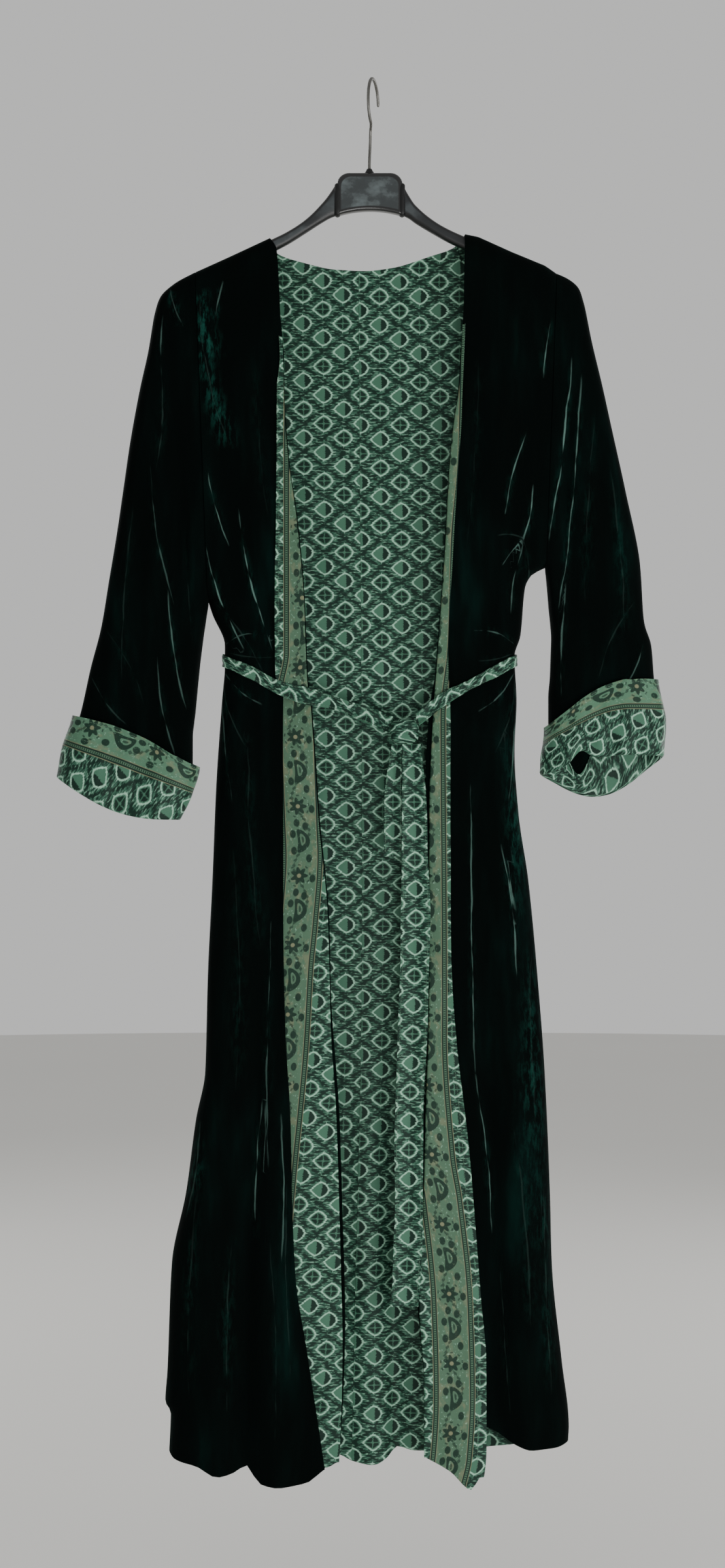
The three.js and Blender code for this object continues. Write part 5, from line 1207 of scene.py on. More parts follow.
def stripe_print(f, across, along_it, width):
    """A dotted band between two dark lines, edged with pale olive."""
    share = f.math("DIVIDE", across, width)
    dark = f.most(f.band(share, 0.10, 0.32, 0.04), f.band(share, 0.68, 0.90, 0.04))
    dots = f.step(f.wave(along_it, 2.4), -0.1, 0.5)
    inner = f.mix(f.times(f.band(share, 0.36, 0.64, 0.04), dots), OLIVE, INK)
    return f.mix(dark, f.mix(f.band(share, 0.2, 0.8, 0.1), BEIGE, inner), DARK)


CUFF_LEAN = math.radians(-26)
SILK = {
    "Roughness": 0.6,
    "Specular IOR Level": 0.16,
    "Sheen Weight": 0.04,
    "Sheen Roughness": 0.4,
    "Sheen Tint": colour("#b9d6c4"),
}


def silk_weave(f, across, along_it):
    """Fine ribs across the cloth over soft hand-sized ripples."""
    ribs = f.wave(along_it, 0.9)
    slub = f.cloud(across, along_it, 0.08, 0.7)
    ripple = f.cloud(across, along_it, 0.05, 0.018, 2.0, 0.55)
    soft = f.bump(ripple, 0.55, 0.0030)
    fine = f.bump(f.add(f.times(ribs, 0.3), slub), 0.35, 0.0003, soft)
    return f.add(f.times(slub, 0.16), 0.46), fine


def silk_with(name, printed):
    """Woven silk with the colour that `printed` gives from the places across and along it."""
    f = Finish(name, SILK)
    across, along_it = f.cut()
    rough, normal = silk_weave(f, across, along_it)
    return f.paint(printed(f, across, along_it), rough, normal)


def make_silk(settings):
    return silk_with(
        "printed silk", lambda f, across, along_it: trellis_print(f, across, along_it, settings),
    )


def bands_of(f, across, along_it, settings, ground, lean=0.0):
    """Print with one border between two stripes; `across` is 0 where the border begins.
    The print leans by `lean` against the border."""
    width, stripe = settings.border_width / MM, settings.stripe_width / MM
    cosine, sine = math.cos(lean), math.sin(lean)
    body = trellis_print(
        f,
        f.add(f.times(across, cosine), f.times(along_it, sine)),
        f.add(f.times(along_it, cosine), f.times(across, -sine)),
        settings,
    )
    past = f.math("SUBTRACT", across, width)
    for start in (f.add(across, stripe), past):
        stripes = stripe_print(f, start, along_it, stripe)
        body = f.mix(f.band(start, 0.0, stripe, 0.1), body, stripes)
    border = border_print(f, f.add(across, -width / 2), along_it, settings, ground)
    return f.mix(f.band(across, 0.0, width, 0.1), body, border)


def make_facing_silk(settings):
    return silk_with(
        "bordered facing silk", lambda f, across, along_it: bands_of(f, across, along_it, settings, OLIVE),
    )


def make_cuff_silk(settings):
    hidden = (settings.border_width - settings.cuff_border) / MM

    def printed(f, across, along_it):
        from_border = f.add(f.times(along_it, -1.0), hidden)
        return bands_of(f, from_border, across, settings, SAGE, CUFF_LEAN)

    return silk_with("bordered cuff silk", printed)


def make_velvet(settings):
    """Standing pile, almost black, with painted highlights along the creases: broad soft patches that
    partly stand for pressed pile, and hard thin painted glint lines along their ridges. `ridge_` is the
    distance from the nearest crease of its set in millimetres."""
    f = Finish("bottle green velvet", {
        "Specular IOR Level": 0.06,
        "Sheen Weight": settings.velvet_sheen,
        "Sheen Roughness": 0.3,
        "Sheen Tint": colour("#3f8d78"),
    })
    nap = f.noise(f.place((30, 30, 6)), 1.0, 3.0, 0.55)
    brushed = f.noise(f.place((210, 210, 60)), 1.0, 3.0, 0.7)
    broken = f.noise(f.place((60, 60, 26)), 1.0, 2.0, 0.6)
    painted_crush_light = f.times(f.value("crush"), f.step(brushed, 0.42, 0.66))
    wander = f.noise(f.place((22, 22, 22)), 1.0, 2.0, 0.5)
    # Painted highlight: a hard thin glint line along the ridge of each set's nearest crease, broken up by
    # noise.
    lines = []
    for number in range(CREASE_SETS):
        gap = f.math("ABSOLUTE", f.add(f.value(f"ridge_{number}"), f.times(f.add(wander, -0.5), 5.0)))
        width = f.add(f.times(f.step(broken, 0.3, 0.7), 1.1), 0.25)
        lines.append(f.times(f.value(f"glint_{number}"), f.step(f.math("DIVIDE", gap, width), 1.0, 0.2)))
    line = f.times(f.most(*lines), f.step(broken, 0.34, 0.56))
    leaning = f.times(f.step(nap, 0.56, 0.82), 0.08)
    base = f.mix(f.step(nap, 0.4, 0.75), settings.velvet_deep, settings.velvet_green)
    # `light` is mostly painted highlight from the crushed creases, with a little random lean of the pile.
    light = f.math("MINIMUM", f.add(f.times(painted_crush_light, 0.75), leaning), 1.0)
    base = f.mix(f.times(line, 0.55), f.mix(light, base, settings.velvet_crush_highlight), settings.velvet_glint_highlight)
    pile = f.noise(f.place((1500, 1500, 1500)), 1.0, 1.0)
    wrinkle = f.noise(f.place((70, 70, 18)), 1.0, 3.0, 0.6)
    soft = f.bump(wrinkle, 0.5, 0.0018)
    normal = f.bump(pile, 0.5, 0.0004, soft)
    rough = f.add(f.times(light, -0.25), 0.95)
    return f.paint(base, rough, normal)


def make_block_plastic(settings):
    f = Finish("dark grey gloss plastic", {"Coat Weight": 0.4, "Coat Roughness": 0.12})
    smear = f.noise(f.place((42, 42, 60)), 1.0, 4.0, 0.6)
    face = f.mix(f.step(smear, 0.44, 0.70), settings.plastic_grey, colour("#515a5b"))
    # Painted shade: the rounded bevel round the block's faces is painted near-black, the flat faces keep
    # their grey.
    inner = f.step(f.value("from_edge"), BLOCK_BEVEL + 0.9, BLOCK_BEVEL + 1.8)
    base = f.mix(inner, colour("#040505"), face)
    normal = f.bump(f.noise(f.place((240, 240, 240)), 1.0, 1.0), 0.12, 0.0004)
    return f.paint(base, f.add(f.times(smear, 0.22), 0.16), normal)


def make_arm_plastic(settings):
    f = Finish("black satin plastic", {"Specular IOR Level": 0.5})
    grain = f.noise(f.place((900, 900, 900)), 1.0, 2.0)
    rub = f.noise(f.place((40, 40, 40)), 1.0, 3.0)
    face = f.mix(f.step(rub, 0.35, 0.7), colour("#1b1e20"), colour("#3b4143"))
    # Painted light and shade: faces looking forward or back get the lighter rubbed grey as if lit, and the
    # top, bottom and ends that turn away are painted near-black as if shaded.
    base = f.mix(f.facing(0.90, 0.995), colour("#040506"), face)
    return f.paint(base, f.add(f.times(rub, 0.3), 0.25), f.bump(grain, 0.3, 0.0003))


def make_rib_plastic(settings):
    f = Finish("black rib plastic", {"Specular IOR Level": 0.35})
    grain = f.noise(f.place((900, 900, 900)), 1.0, 2.0)
    base = f.mix(grain, colour("#020303"), colour("#070808"))
    return f.paint(base, f.add(f.times(grain, 0.2), 0.45), f.bump(grain, 0.3, 0.0003))


def make_steel(settings):
    f = Finish("bright drawn wire", {"Metallic": 1.0})
    drawn = f.noise(f.place((500, 500, 60)), 1.0, 2.0)
    base = f.mix(drawn, colour("#4c4b48"), colour("#83827e"))
    return f.paint(base, f.add(f.times(drawn, 0.2), 0.38), f.bump(drawn, 0.1, 0.0002))


def make_thread(settings):
    f = Finish("green sewing thread", {"Sheen Weight": 0.3, "Sheen Roughness": 0.4})
    twist = f.noise(f.place((2500, 2500, 2500)), 1.0, 1.0)
    return f.paint(f.mix(twist, colour("#24422f"), colour("#5c7f66")), f.add(f.times(twist, 0.1), 0.6))


def make_floor(settings):
    f = Finish("pale studio floor", {})
    cloud = f.noise(f.place((0.8, 0.8, 0.8)), 1.0, 2.0)
    base = f.mix(cloud, colour("#d6d5d1"), colour("#dddcd8"))
    return f.paint(base, f.add(f.times(cloud, 0.1), 0.8))


MAKERS = {
    "silk": make_silk,
    "facing": make_facing_silk,
    "cuff": make_cuff_silk,
    "velvet": make_velvet,
    "block": make_block_plastic,
    "arm": make_arm_plastic,
    "rib": make_rib_plastic,
    "steel": make_steel,
    "thread": make_thread,
    "floor": make_floor,
}
MADE = {}


def finish(name):
    """The material of that name, made the first time that it is asked for."""
    if name not in MADE:
        MADE[name] = MAKERS[name](bpy.context.scene.robe)
    return MADE[name]


# ------------------------------------------------------------------ pieces

GLINT_REACH, GLINT_FADE, FAR_AWAY = 11, 6, 1e6


def crease_highlights_on(name, grid):
    """What the velvet's finish reads at each point: the soft painted highlight round pressed pile, and the
    ridges' distance and the strength of their painted glint lines.
    """
    x, z, creases = grid[..., 0], grid[..., 2], CREASES[name]
    values = {"crush": crease_field(creases, x, z, "crush").clip(0, 1)}
    for number in range(CREASE_SETS):
        best = np.full(x.shape, FAR_AWAY)
        ridge, glint = best.copy(), np.zeros(x.shape)
        for k in range(number, len(creases["from_x"]), CREASE_SETS):
            across, t = crease_place(creases, k, x, z)
            length = crease_length(creases, k)
            beyond = np.maximum(0, np.maximum(-t, t - 1)) * length
            away = np.hypot(across, beyond)
            near = smooth((GLINT_REACH - np.abs(across)) / GLINT_FADE)
            reach = near * np.sin(np.pi * np.clip(t, 0, 1)) ** 0.5
            nearer = away < best
            best = np.where(nearer, away, best)
            ridge = np.where(nearer, across, ridge)
            glint = np.where(nearer, creases["glint"][k] * reach, glint)
        values[f"ridge_{number}"], values[f"glint_{number}"] = ridge, glint
    return values


def make_back(cell):
    grid, centre = back_grid(cell)
    seam = np.zeros(grid.shape[:2], bool)
    seam[0] = ~within_neck(grid[0, :, 0], 1)
    seam[:, [0, -1]] = True
    velvet, silk = finish("velvet"), finish("silk")
    values = crease_highlights_on("back", grid)
    uv = hung_uv(grid, centre)
    obj = shell(
        "robe_back", grid, VELVET, [velvet, silk, velvet], flat={1: seam}, uv=uv, values=values, outward=-1,
    )
    declare(obj, "back")


def make_front(word, side, cell):
    grid = front_grid(side, cell)
    above = grid[:, 0, 2] > ARMHOLES[side]["under_z"] - SEAM
    shoulder = np.zeros(grid.shape[:2], bool)
    shoulder[0] = True
    side_seam, armhole = np.zeros_like(shoulder), np.zeros_like(shoulder)
    side_seam[~above, 0] = True
    armhole[above, 0] = True
    velvet, silk = finish("velvet"), finish("silk")
    values = crease_highlights_on(f"front_{word}", grid)
    uv = hung_uv(grid, 0)
    obj = shell(
        f"robe_front_{word}", grid, VELVET, [velvet, silk, velvet],
        flat={1: shoulder | side_seam, 0: armhole}, uv=uv, values=values, outward=-side,
    )
    declare(obj, f"front_{word}")


def make_lining(word, side, cell):
    grid = lining_grid(side, cell)
    silk = finish("silk")
    uv = hung_uv(grid, grid.shape[1] - 1 if side == RIGHT else 0)
    uv += np.array(PRINT_SHIFTS[side]) * MM
    obj = shell(f"back_lining_of_{word}", grid, LINING, [silk, silk, silk], uv=uv)
    declare(obj, f"back_lining_{word}")


def facing_uv(side, grid):
    """Flat places on a facing, with 0 across where its border begins."""
    uv = hung_uv(grid, 0)
    begins = along(BORDER_LINES[side], "z", grid[..., 2], "x") - grid[:, :1, 0]
    uv[..., 0] = -side * uv[..., 0] - begins * MM
    return uv


def make_facing(word, side, cell):
    grid = facing_grid(side, cell)
    silk = finish("facing")
    obj = shell(f"turned_facing_{word}", grid, FACING, [silk, silk, silk], uv=facing_uv(side, grid))
    declare(obj, f"revers_{word}")


def make_sleeve(word, side, cell):
    grid = sleeve_grid(side, cell)
    armhole = np.zeros(grid.shape[:2], bool)
    armhole[0] = True
    velvet = finish("velvet")
    values = crease_highlights_on(f"sleeve_{word}", grid)
    uv = cut_uv(grid, True, 0)
    obj = shell(
        f"robe_sleeve_{word}", grid, VELVET, [velvet, velvet, velvet],
        closed=True, flat={0: armhole}, uv=uv, values=values, outward=-side,
    )
    declare(obj, f"sleeve_{word}")


def make_cuff(word, side, cell):
    grid = cuff_grid(side, cell)
    silk = finish("cuff")
    uv = cut_uv(grid, True, 0)
    ahead = np.roll(grid[..., 0], -1, 1) - grid[..., 0]
    uv[..., 0] *= np.sign(np.where(grid[..., 1] < 0, ahead, 0).sum())
    obj = shell(f"turned_cuff_{word}", grid, LINING, [silk, silk, silk], closed=True, uv=uv)
    declare(obj, f"cuff_{word}")


def make_belt_stretch(name, node, grid, ends, middle=0):
    flat = np.zeros(grid.shape[:2], bool)
    flat[:, ends] = True
    silk = finish("silk")
    obj = shell(name, grid, BELT, [silk, silk, silk], flat={1: flat}, uv=cut_uv(grid, False, middle))
    declare(obj, node)


def loft(name, rings, materials, values=None):
    """A closed form through rings, with a flat cap at each end."""
    count, around = rings.shape[:2]
    j, i = np.meshgrid(np.arange(count - 1), np.arange(around), indexing="ij")
    j, i = j.ravel(), i.ravel()
    after = (i + 1) % around
    here, below = j * around, (j + 1) * around
    faces = np.stack([here + i, below + i, below + after, here + after], -1)
    uv = cut_uv(rings, True, 0)
    corner_uv = np.stack([uv[j, i], uv[j + 1, i], uv[j + 1, i + 1], uv[j, i + 1]], 1)
    positions = rings.reshape(-1, 3)
    flip = signed_volume(positions, faces) < 0
    if flip:
        faces, corner_uv = faces[:, ::-1], corner_uv[:, ::-1]
    middles = np.stack([rings[0].mean(axis=0), rings[-1].mean(axis=0)])
    caps, cap_uv = [], []
    for end, row in enumerate((0, count - 1)):
        for k in range(around):
            places = [(row, k), (row, (k + 1) % around)]
            if flip == (end == 0):
                places.reverse()
            caps.append([*(a * around + b for a, b in places), len(positions) + end])
            cap_uv += [*(uv[a, b] for a, b in places), uv[row].mean(axis=0)]
    positions = np.concatenate([positions, middles])
    flat_uv = np.concatenate([corner_uv.reshape(-1, 2), np.array(cap_uv)])
    return new_object(name, positions, [*faces.tolist(), *caps], materials, uv=flat_uv, values=values)


def soften(value, exponent):
    return np.sign(value) * np.abs(value) ** exponent


def make_knot():
    """The knot: a small rounded box of cloth with its turns lapped slantwise over each other."""
    latitude = np.radians(np.linspace(-KNOT_POLE, KNOT_POLE, KNOT_RINGS))[:, None]
    angle = circle(KNOT_AROUND)[None, :]
    up = soften(np.sin(latitude), 2 / 3)
    wide = soften(np.cos(latitude), 2 / 3)
    x = KNOT["width"] / 2 * wide * soften(np.cos(angle), 2 / 3)
    y = KNOT["depth"] / 2 * wide * soften(np.sin(angle), 2 / 3)
    z = KNOT["height"] / 2 * up + 0 * angle
    turns = (z * 0.86 + x * 0.5 + 1.5) / KNOT_TURN_WIDTH
    lap = turns - np.floor(turns)
    step = (smooth(lap / 0.16) * (1 - 0.75 * lap) - 0.35) * KNOT_TURN_HEIGHT
    puckers = 0.35 * np.sin(x / 1.7 + z / 5) * np.abs(np.sin(z / 3.1))
    out = np.stack([x / (KNOT["width"] / 2), y / (KNOT["depth"] / 2), z / (KNOT["height"] / 2)], -1)
    out /= np.maximum(np.linalg.norm(out, axis=-1, keepdims=True), 1e-6)
    rings = np.stack([x, y, z], -1) + out * ((step + puckers) * np.clip(wide * 2, 0, 1))[..., None]
    rings = rings + np.array([KNOT["x"], KNOT["y"], KNOT["z"]])
    obj = loft("belt_knot_turns", rings, [finish("silk")])
    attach(obj, "root")
    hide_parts("belt_knot")


def make_belt():
    for word, side in SIDES:
        grid = belt_front_grid(side)
        make_belt_stretch(f"belt_front_{word}", f"belt_{word}", grid, [0])
    make_belt_stretch("belt_round_back", "belt_back", belt_back_grid(), [0, -1])
    for word in TAILS:
        grid = tail_grid(word)
        middle = TAIL_LANES // 2
        make_belt_stretch(f"belt_end_{word}", f"belt_tail_{word}", grid, [], middle)


# ------------------------------------------------------------------ hanger and hook

BLOCK = {"left": 31.5, "right": -39.0, "top": -99.4, "bottom": -145.0, "arch": -139.5, "depth": 14}
BLOCK_CORNER, BLOCK_BEVEL = 13, 3.2
BLOCK_FOOT_POINTS, BLOCK_CORNER_POINTS, BLOCK_SIDE_STEPS, BLOCK_BEVEL_POINTS = 31, 11, 7, 6
BLOCK_FACE_RINGS = (2.6, 1.8, 0.8)
ARM_COLUMNS = "x top bottom depth"
ARMS = {
    RIGHT: table(
        ARM_COLUMNS,
        (-39.4, -109.5, -144.5, 12), (-46.0, -120.0, -147.0, 12), (-53.2, -129.5, -151.0, 12),
        (-72.8, -149.1, -163.5, 13), (-92.0, -161.8, -175.5, 13), (-110.6, -171.0, -185.0, 13),
    ),
    LEFT: table(
        ARM_COLUMNS,
        (31.9, -112.0, -144.5, 12), (38.0, -123.0, -147.5, 12), (44.8, -133.0, -152.5, 12),
        (66.5, -151.2, -165.5, 13), (82.0, -160.0, -174.0, 13), (98.0, -167.2, -181.0, 13),
    ),
}
ARM_ENDS = {RIGHT: -187, LEFT: 193}
ARM_UNDER_CLOTH, ARM_HEIGHT, ARM_DEPTH = VELVET / 2 + 0.8, 14.5, 13
ARM_SHOWN_RINGS, ARM_HIDDEN_RINGS, ARM_AROUND, ARM_BOXINESS = 40, 29, 40, 2.6
ARM_TIP = (0.97, 0.9, 0.78, 0.6)
RIB = {"width": 6.2, "proud": 0.9, "height": 35.5, "middle": -127.9, "over_block": 2.4}
RIB_RINGS, RIB_AROUND, RIB_BOXINESS = 9, 48, 5
WIRE, HOOK_RADIUS, HOOK_TURN = 3.4, 26.5, math.radians(78)
HOOK_START, HOOK_SWEEP = -118, 235
SHANK_X, SHANK_SINK, SHANK_RISE = -4.2, 14, 12
COLLAR = {"radius": 5.5, "height": 5, "sunk": 2, "around": 40}
HOOK_NECK = table("w below_foot share", (0, 15, 0.8), (-4, 2, 0.5))
HOOK_POINTS, HOOK_STEPS, WIRE_AROUND, WIRE_TIP = 13, 9, 16, (0.98, 0.86, 0.5)


def rounded_section(around, boxiness):
    angle = circle(around)
    return soften(np.cos(angle), 2 / boxiness), soften(np.sin(angle), 2 / boxiness)


def make_arm(word, side):
    rows = ARMS[side]
    shown = np.linspace(rows["x"][0], rows["x"][-1], ARM_SHOWN_RINGS)
    hidden = np.linspace(rows["x"][-1], ARM_ENDS[side], ARM_HIDDEN_RINGS + 1)[1:]
    top = np.r_[along(rows, "x", shown, "top"), shoulder_z(hidden) - ARM_UNDER_CLOTH]
    low = np.r_[along(rows, "x", shown, "bottom"), shoulder_z(hidden) - ARM_UNDER_CLOTH - ARM_HEIGHT]
    depth = np.r_[along(rows, "x", shown, "depth"), np.full(len(hidden), ARM_DEPTH)]
    x = np.r_[shown, hidden]
    size = np.ones(len(x))
    size[-len(ARM_TIP):] = ARM_TIP
    across, up = rounded_section(ARM_AROUND, ARM_BOXINESS)
    middle, half = (top + low) / 2, (top - low) / 2
    rings = np.stack([
        x[:, None] + 0 * across,
        (depth * size)[:, None] / 2 * across,
        middle[:, None] + (half * size)[:, None] * up,
    ], -1)
    obj = loft(f"moulded_arm_{word}", rings, [finish("arm")])
    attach(obj, "root")
    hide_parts(f"hanger_arm_{word}")


def make_rib(word, side):
    """The raised black rib where an arm leaves the block."""
    end = BLOCK["right"] if side == RIGHT else BLOCK["left"]
    x = end - side * (np.linspace(0, RIB["width"], RIB_RINGS) - RIB["over_block"])
    swell = np.sqrt(1 - np.linspace(-0.94, 0.94, RIB_RINGS) ** 2 * 0.45)
    across, up = rounded_section(RIB_AROUND, RIB_BOXINESS)
    rings = np.stack([
        x[:, None] + 0 * across,
        ((BLOCK["depth"] / 2 + RIB["proud"]) * swell)[:, None] * across,
        RIB["middle"] + (RIB["height"] / 2 * swell ** 0.4)[:, None] * up,
    ], -1)
    obj = loft(f"block_rib_{word}", rings, [finish("rib")])
    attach(obj, "root")


def block_outline():
    """The block's outline in the XZ plane: rounded top corners and an arched foot."""
    left, right, top, bottom = BLOCK["left"], BLOCK["right"], BLOCK["top"], BLOCK["bottom"]
    t = np.linspace(0, 1, BLOCK_FOOT_POINTS)[:, None]
    start, end = np.array((right, bottom)), np.array((left, bottom))
    peak = np.array(((left + right) / 2, 2 * BLOCK["arch"] - bottom))
    foot = (1 - t) ** 2 * start + 2 * t * (1 - t) * peak + t * t * end
    corner = np.linspace(0, np.pi / 2, BLOCK_CORNER_POINTS)
    turn = np.stack([np.cos(corner), np.sin(corner)], -1) * BLOCK_CORNER
    first = turn + (left - BLOCK_CORNER, top - BLOCK_CORNER)
    second = np.stack([-turn[:, 1], turn[:, 0]], -1) + (right + BLOCK_CORNER, top - BLOCK_CORNER)
    sides = np.linspace(0, 1, BLOCK_SIDE_STEPS + 1)[1:-1, None]
    rise, over = lerp(foot[-1], first[0], sides), lerp(first[-1], second[0], sides)
    drop = lerp(second[-1], foot[0], sides)
    return np.concatenate([foot, rise, first, over, second, drop])


def make_block():
    outline = block_outline()
    half_size = np.array([BLOCK["left"] - BLOCK["right"], BLOCK["top"] - BLOCK["arch"]]) / 2
    middle = np.array([BLOCK["left"] + BLOCK["right"], BLOCK["top"] + BLOCK["arch"]]) / 2
    half = BLOCK["depth"] / 2
    turn = np.linspace(0, np.pi / 2, BLOCK_BEVEL_POINTS)
    place = -half + BLOCK_BEVEL * (1 - np.cos(turn))
    place = np.r_[np.full(len(BLOCK_FACE_RINGS), place[0]), place]
    inset = np.r_[BLOCK_BEVEL + np.array(BLOCK_FACE_RINGS), BLOCK_BEVEL * (1 - np.sin(turn))]
    rings = []
    for depth, gap in zip(np.r_[place, -place[::-1]], np.r_[inset, inset[::-1]]):
        flat = middle + (outline - middle) * (1 - gap / half_size)
        rings.append(np.stack([flat[:, 0], np.full(len(flat), depth), flat[:, 1]], -1))
    from_edge = np.repeat(np.r_[inset, inset[::-1]], len(outline))
    values = {"from_edge": np.r_[from_edge, inset[0], inset[0]]}
    obj = loft("moulded_block", np.array(rings), [finish("block")], values)
    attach(obj, "root")
    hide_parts("hanger_block")


def make_collar():
    radius, top = COLLAR["radius"], BLOCK["top"]
    profile = np.array([
        (radius, -COLLAR["sunk"]), (radius - 0.1, 0.4), (radius - 1.0, 1.6), (radius - 1.9, 3.0),
        (radius - 2.5, 4.4), (WIRE / 2 + 0.9, COLLAR["height"]), (WIRE / 2 + 0.35, COLLAR["height"] - 0.1),
    ])
    angle = circle(COLLAR["around"])
    rings = np.stack([
        SHANK_X + profile[:, :1] * np.cos(angle),
        profile[:, :1] * np.sin(angle),
        top + profile[:, 1:] + 0 * angle,
    ], -1)
    obj = loft("hook_collar", rings, [finish("rib")])
    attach(obj, "root")


def hook_points():
    """Points up the shank, over the neck's bend and round the bow, which lies in a turned plane."""
    centre = WIRE / 2 - HOOK_RADIUS
    foot = centre - HOOK_RADIUS

    def in_plane(w, z, x=0.0):
        return (x + w * math.cos(HOOK_TURN), w * math.sin(HOOK_TURN), z)

    shank = [(SHANK_X, 0, BLOCK["top"] - SHANK_SINK), (SHANK_X, 0, BLOCK["top"] + SHANK_RISE)]
    neck = [in_plane(w, foot - below, SHANK_X * share) for w, below, share in zip(*HOOK_NECK.values())]
    arc = np.radians(np.linspace(HOOK_START, HOOK_START - HOOK_SWEEP, HOOK_POINTS))
    bow = [in_plane(HOOK_RADIUS * math.cos(a), centre + HOOK_RADIUS * math.sin(a)) for a in arc]
    return np.array([*shank, *neck, *bow], float)


def through(points, steps):
    """A centripetal curve through points, with so many steps in each stretch."""
    path = np.concatenate([[2 * points[0] - points[1]], points, [2 * points[-1] - points[-2]]])
    curve = []
    for k in range(1, len(path) - 2):
        p = path[k - 1:k + 3]
        t = np.r_[0, np.cumsum(np.linalg.norm(np.diff(p, axis=0), axis=1) ** 0.5)]
        u = np.linspace(t[1], t[2], steps, endpoint=k == len(path) - 3)[:, None]
        a = [lerp(p[n], p[n + 1], (u - t[n]) / (t[n + 1] - t[n])) for n in range(3)]
        b = [lerp(a[n], a[n + 1], (u - t[n]) / (t[n + 2] - t[n])) for n in range(2)]
        curve.append(lerp(b[0], b[1], (u - t[1]) / (t[2] - t[1])))
    return np.concatenate(curve)


def make_hook():
    path = through(hook_points(), HOOK_STEPS)
    tangent = np.gradient(path, axis=0)
    tangent /= np.linalg.norm(tangent, axis=1, keepdims=True)
    side = np.array([-math.sin(HOOK_TURN), math.cos(HOOK_TURN), 0.0])
    side = side - (tangent @ side)[:, None] * tangent
    side /= np.linalg.norm(side, axis=1, keepdims=True)
    other = np.cross(tangent, side)
    angle = circle(WIRE_AROUND)[:, None]
    radius = np.full(len(path), WIRE / 2)
    radius[-len(WIRE_TIP):] *= WIRE_TIP
    ring = side[:, None] * np.cos(angle) + other[:, None] * np.sin(angle)
    obj = loft("hook_wire", path[:, None] + radius[:, None, None] * ring, [finish("steel")])
    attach(obj, "root")
    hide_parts("hook")


# ------------------------------------------------------------------ sewing

FACING_STITCH_COLUMN, CUFF_STITCH_ROWS = 2, (1, 8)
STITCHES = "stitches along a line"


def stitch_tree():
    """Geometry Nodes: one short stitch at each pitch along a line, with a little unevenness."""
    tree = bpy.data.node_groups.new(STITCHES, "GeometryNodeTree")
    face = tree.interface
    face.new_socket("Line", in_out="INPUT", socket_type="NodeSocketGeometry")
    for name, default in (("Pitch", 0.0032), ("Stitch Length", 0.0022), ("Thread", 0.00022)):
        face.new_socket(name, in_out="INPUT", socket_type="NodeSocketFloat").default_value = default
    face.new_socket("Seed", in_out="INPUT", socket_type="NodeSocketInt").default_value = 7
    face.new_socket("Finish", in_out="INPUT", socket_type="NodeSocketMaterial")
    face.new_socket("Stitches", in_out="OUTPUT", socket_type="NodeSocketGeometry")
    new = tree.nodes.new
    given, made = new("NodeGroupInput"), new("NodeGroupOutput")
    spaced = new("GeometryNodeResampleCurve")
    spaced.mode = "LENGTH"
    thread = new("GeometryNodeMeshCylinder")
    thread.inputs["Vertices"].default_value = 6
    tangent = new("GeometryNodeInputTangent")
    turned = new("FunctionNodeAlignRotationToVector")
    turned.axis = "Z"
    wander = new("FunctionNodeRandomValue")
    wander.data_type = "FLOAT"
    wander.inputs[2].default_value = 0.8
    wander.inputs[3].default_value = 1.15
    sewn = new("GeometryNodeInstanceOnPoints")
    plain = new("GeometryNodeRealizeInstances")
    finished = new("GeometryNodeSetMaterial")
    for source, output, target, entry in (
        (given, "Line", spaced, "Curve"),
        (given, "Pitch", spaced, "Length"),
        (given, "Thread", thread, "Radius"),
        (given, "Stitch Length", thread, "Depth"),
        (given, "Seed", wander, "Seed"),
        (tangent, 0, turned, "Vector"),
        (spaced, 0, sewn, "Points"),
        (thread, "Mesh", sewn, "Instance"),
        (turned, 0, sewn, "Rotation"),
        (wander, 1, sewn, "Scale"),
        (sewn, 0, plain, 0),
        (plain, 0, finished, 0),
        (given, "Finish", finished, "Material"),
        (finished, 0, made, 0),
    ):
        tree.links.new(source.outputs[output], target.inputs[entry])
    return tree


def sew(name, lines, settings):
    """Stitches along lines of points, as one plain mesh."""
    curve = bpy.data.curves.new(name + "_lines", "CURVE")
    curve.dimensions = "3D"
    for line in lines:
        spline = curve.splines.new("POLY")
        spline.points.add(len(line) - 1)
        spline.points.foreach_set("co", np.c_[line * MM, np.ones(len(line))].ravel())
    guide = link(name + "_lines", curve)
    modifier = guide.modifiers.new("stitches", "NODES")
    modifier.node_group = bpy.data.node_groups.get(STITCHES) or stitch_tree()
    inputs = {item.name: item.identifier for item in modifier.node_group.interface.items_tree}
    modifier[inputs["Pitch"]] = settings.stitch_pitch
    modifier[inputs["Stitch Length"]] = settings.stitch_length
    modifier[inputs["Thread"]] = settings.thread_radius
    modifier[inputs["Finish"]] = finish("thread")
    ready = guide.evaluated_get(bpy.context.evaluated_depsgraph_get())
    mesh = bpy.data.meshes.new_from_object(ready)
    bpy.data.objects.remove(guide)
    mesh.name = name
    obj = link(name, mesh)
    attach(obj, "root")


def line_on(grid, off, row=None, column=None, closed=False):
    """One row or column of a grid, lifted off its cloth."""
    lifted = grid + grid_normals(grid, closed) * off
    line = lifted[row] if column is None else lifted[:, column]
    return np.concatenate([line, line[:1]]) if closed else line


def facing_out(grid, closed=False):
    """1 if a grid's normals point away from the robe's hollow, else -1."""
    normals = grid_normals(grid, closed)
    if closed:
        return np.sign(((grid - grid.mean(axis=1, keepdims=True)) * normals).sum())
    return -1.0 if normals[..., 1].sum() > 0 else 1.0


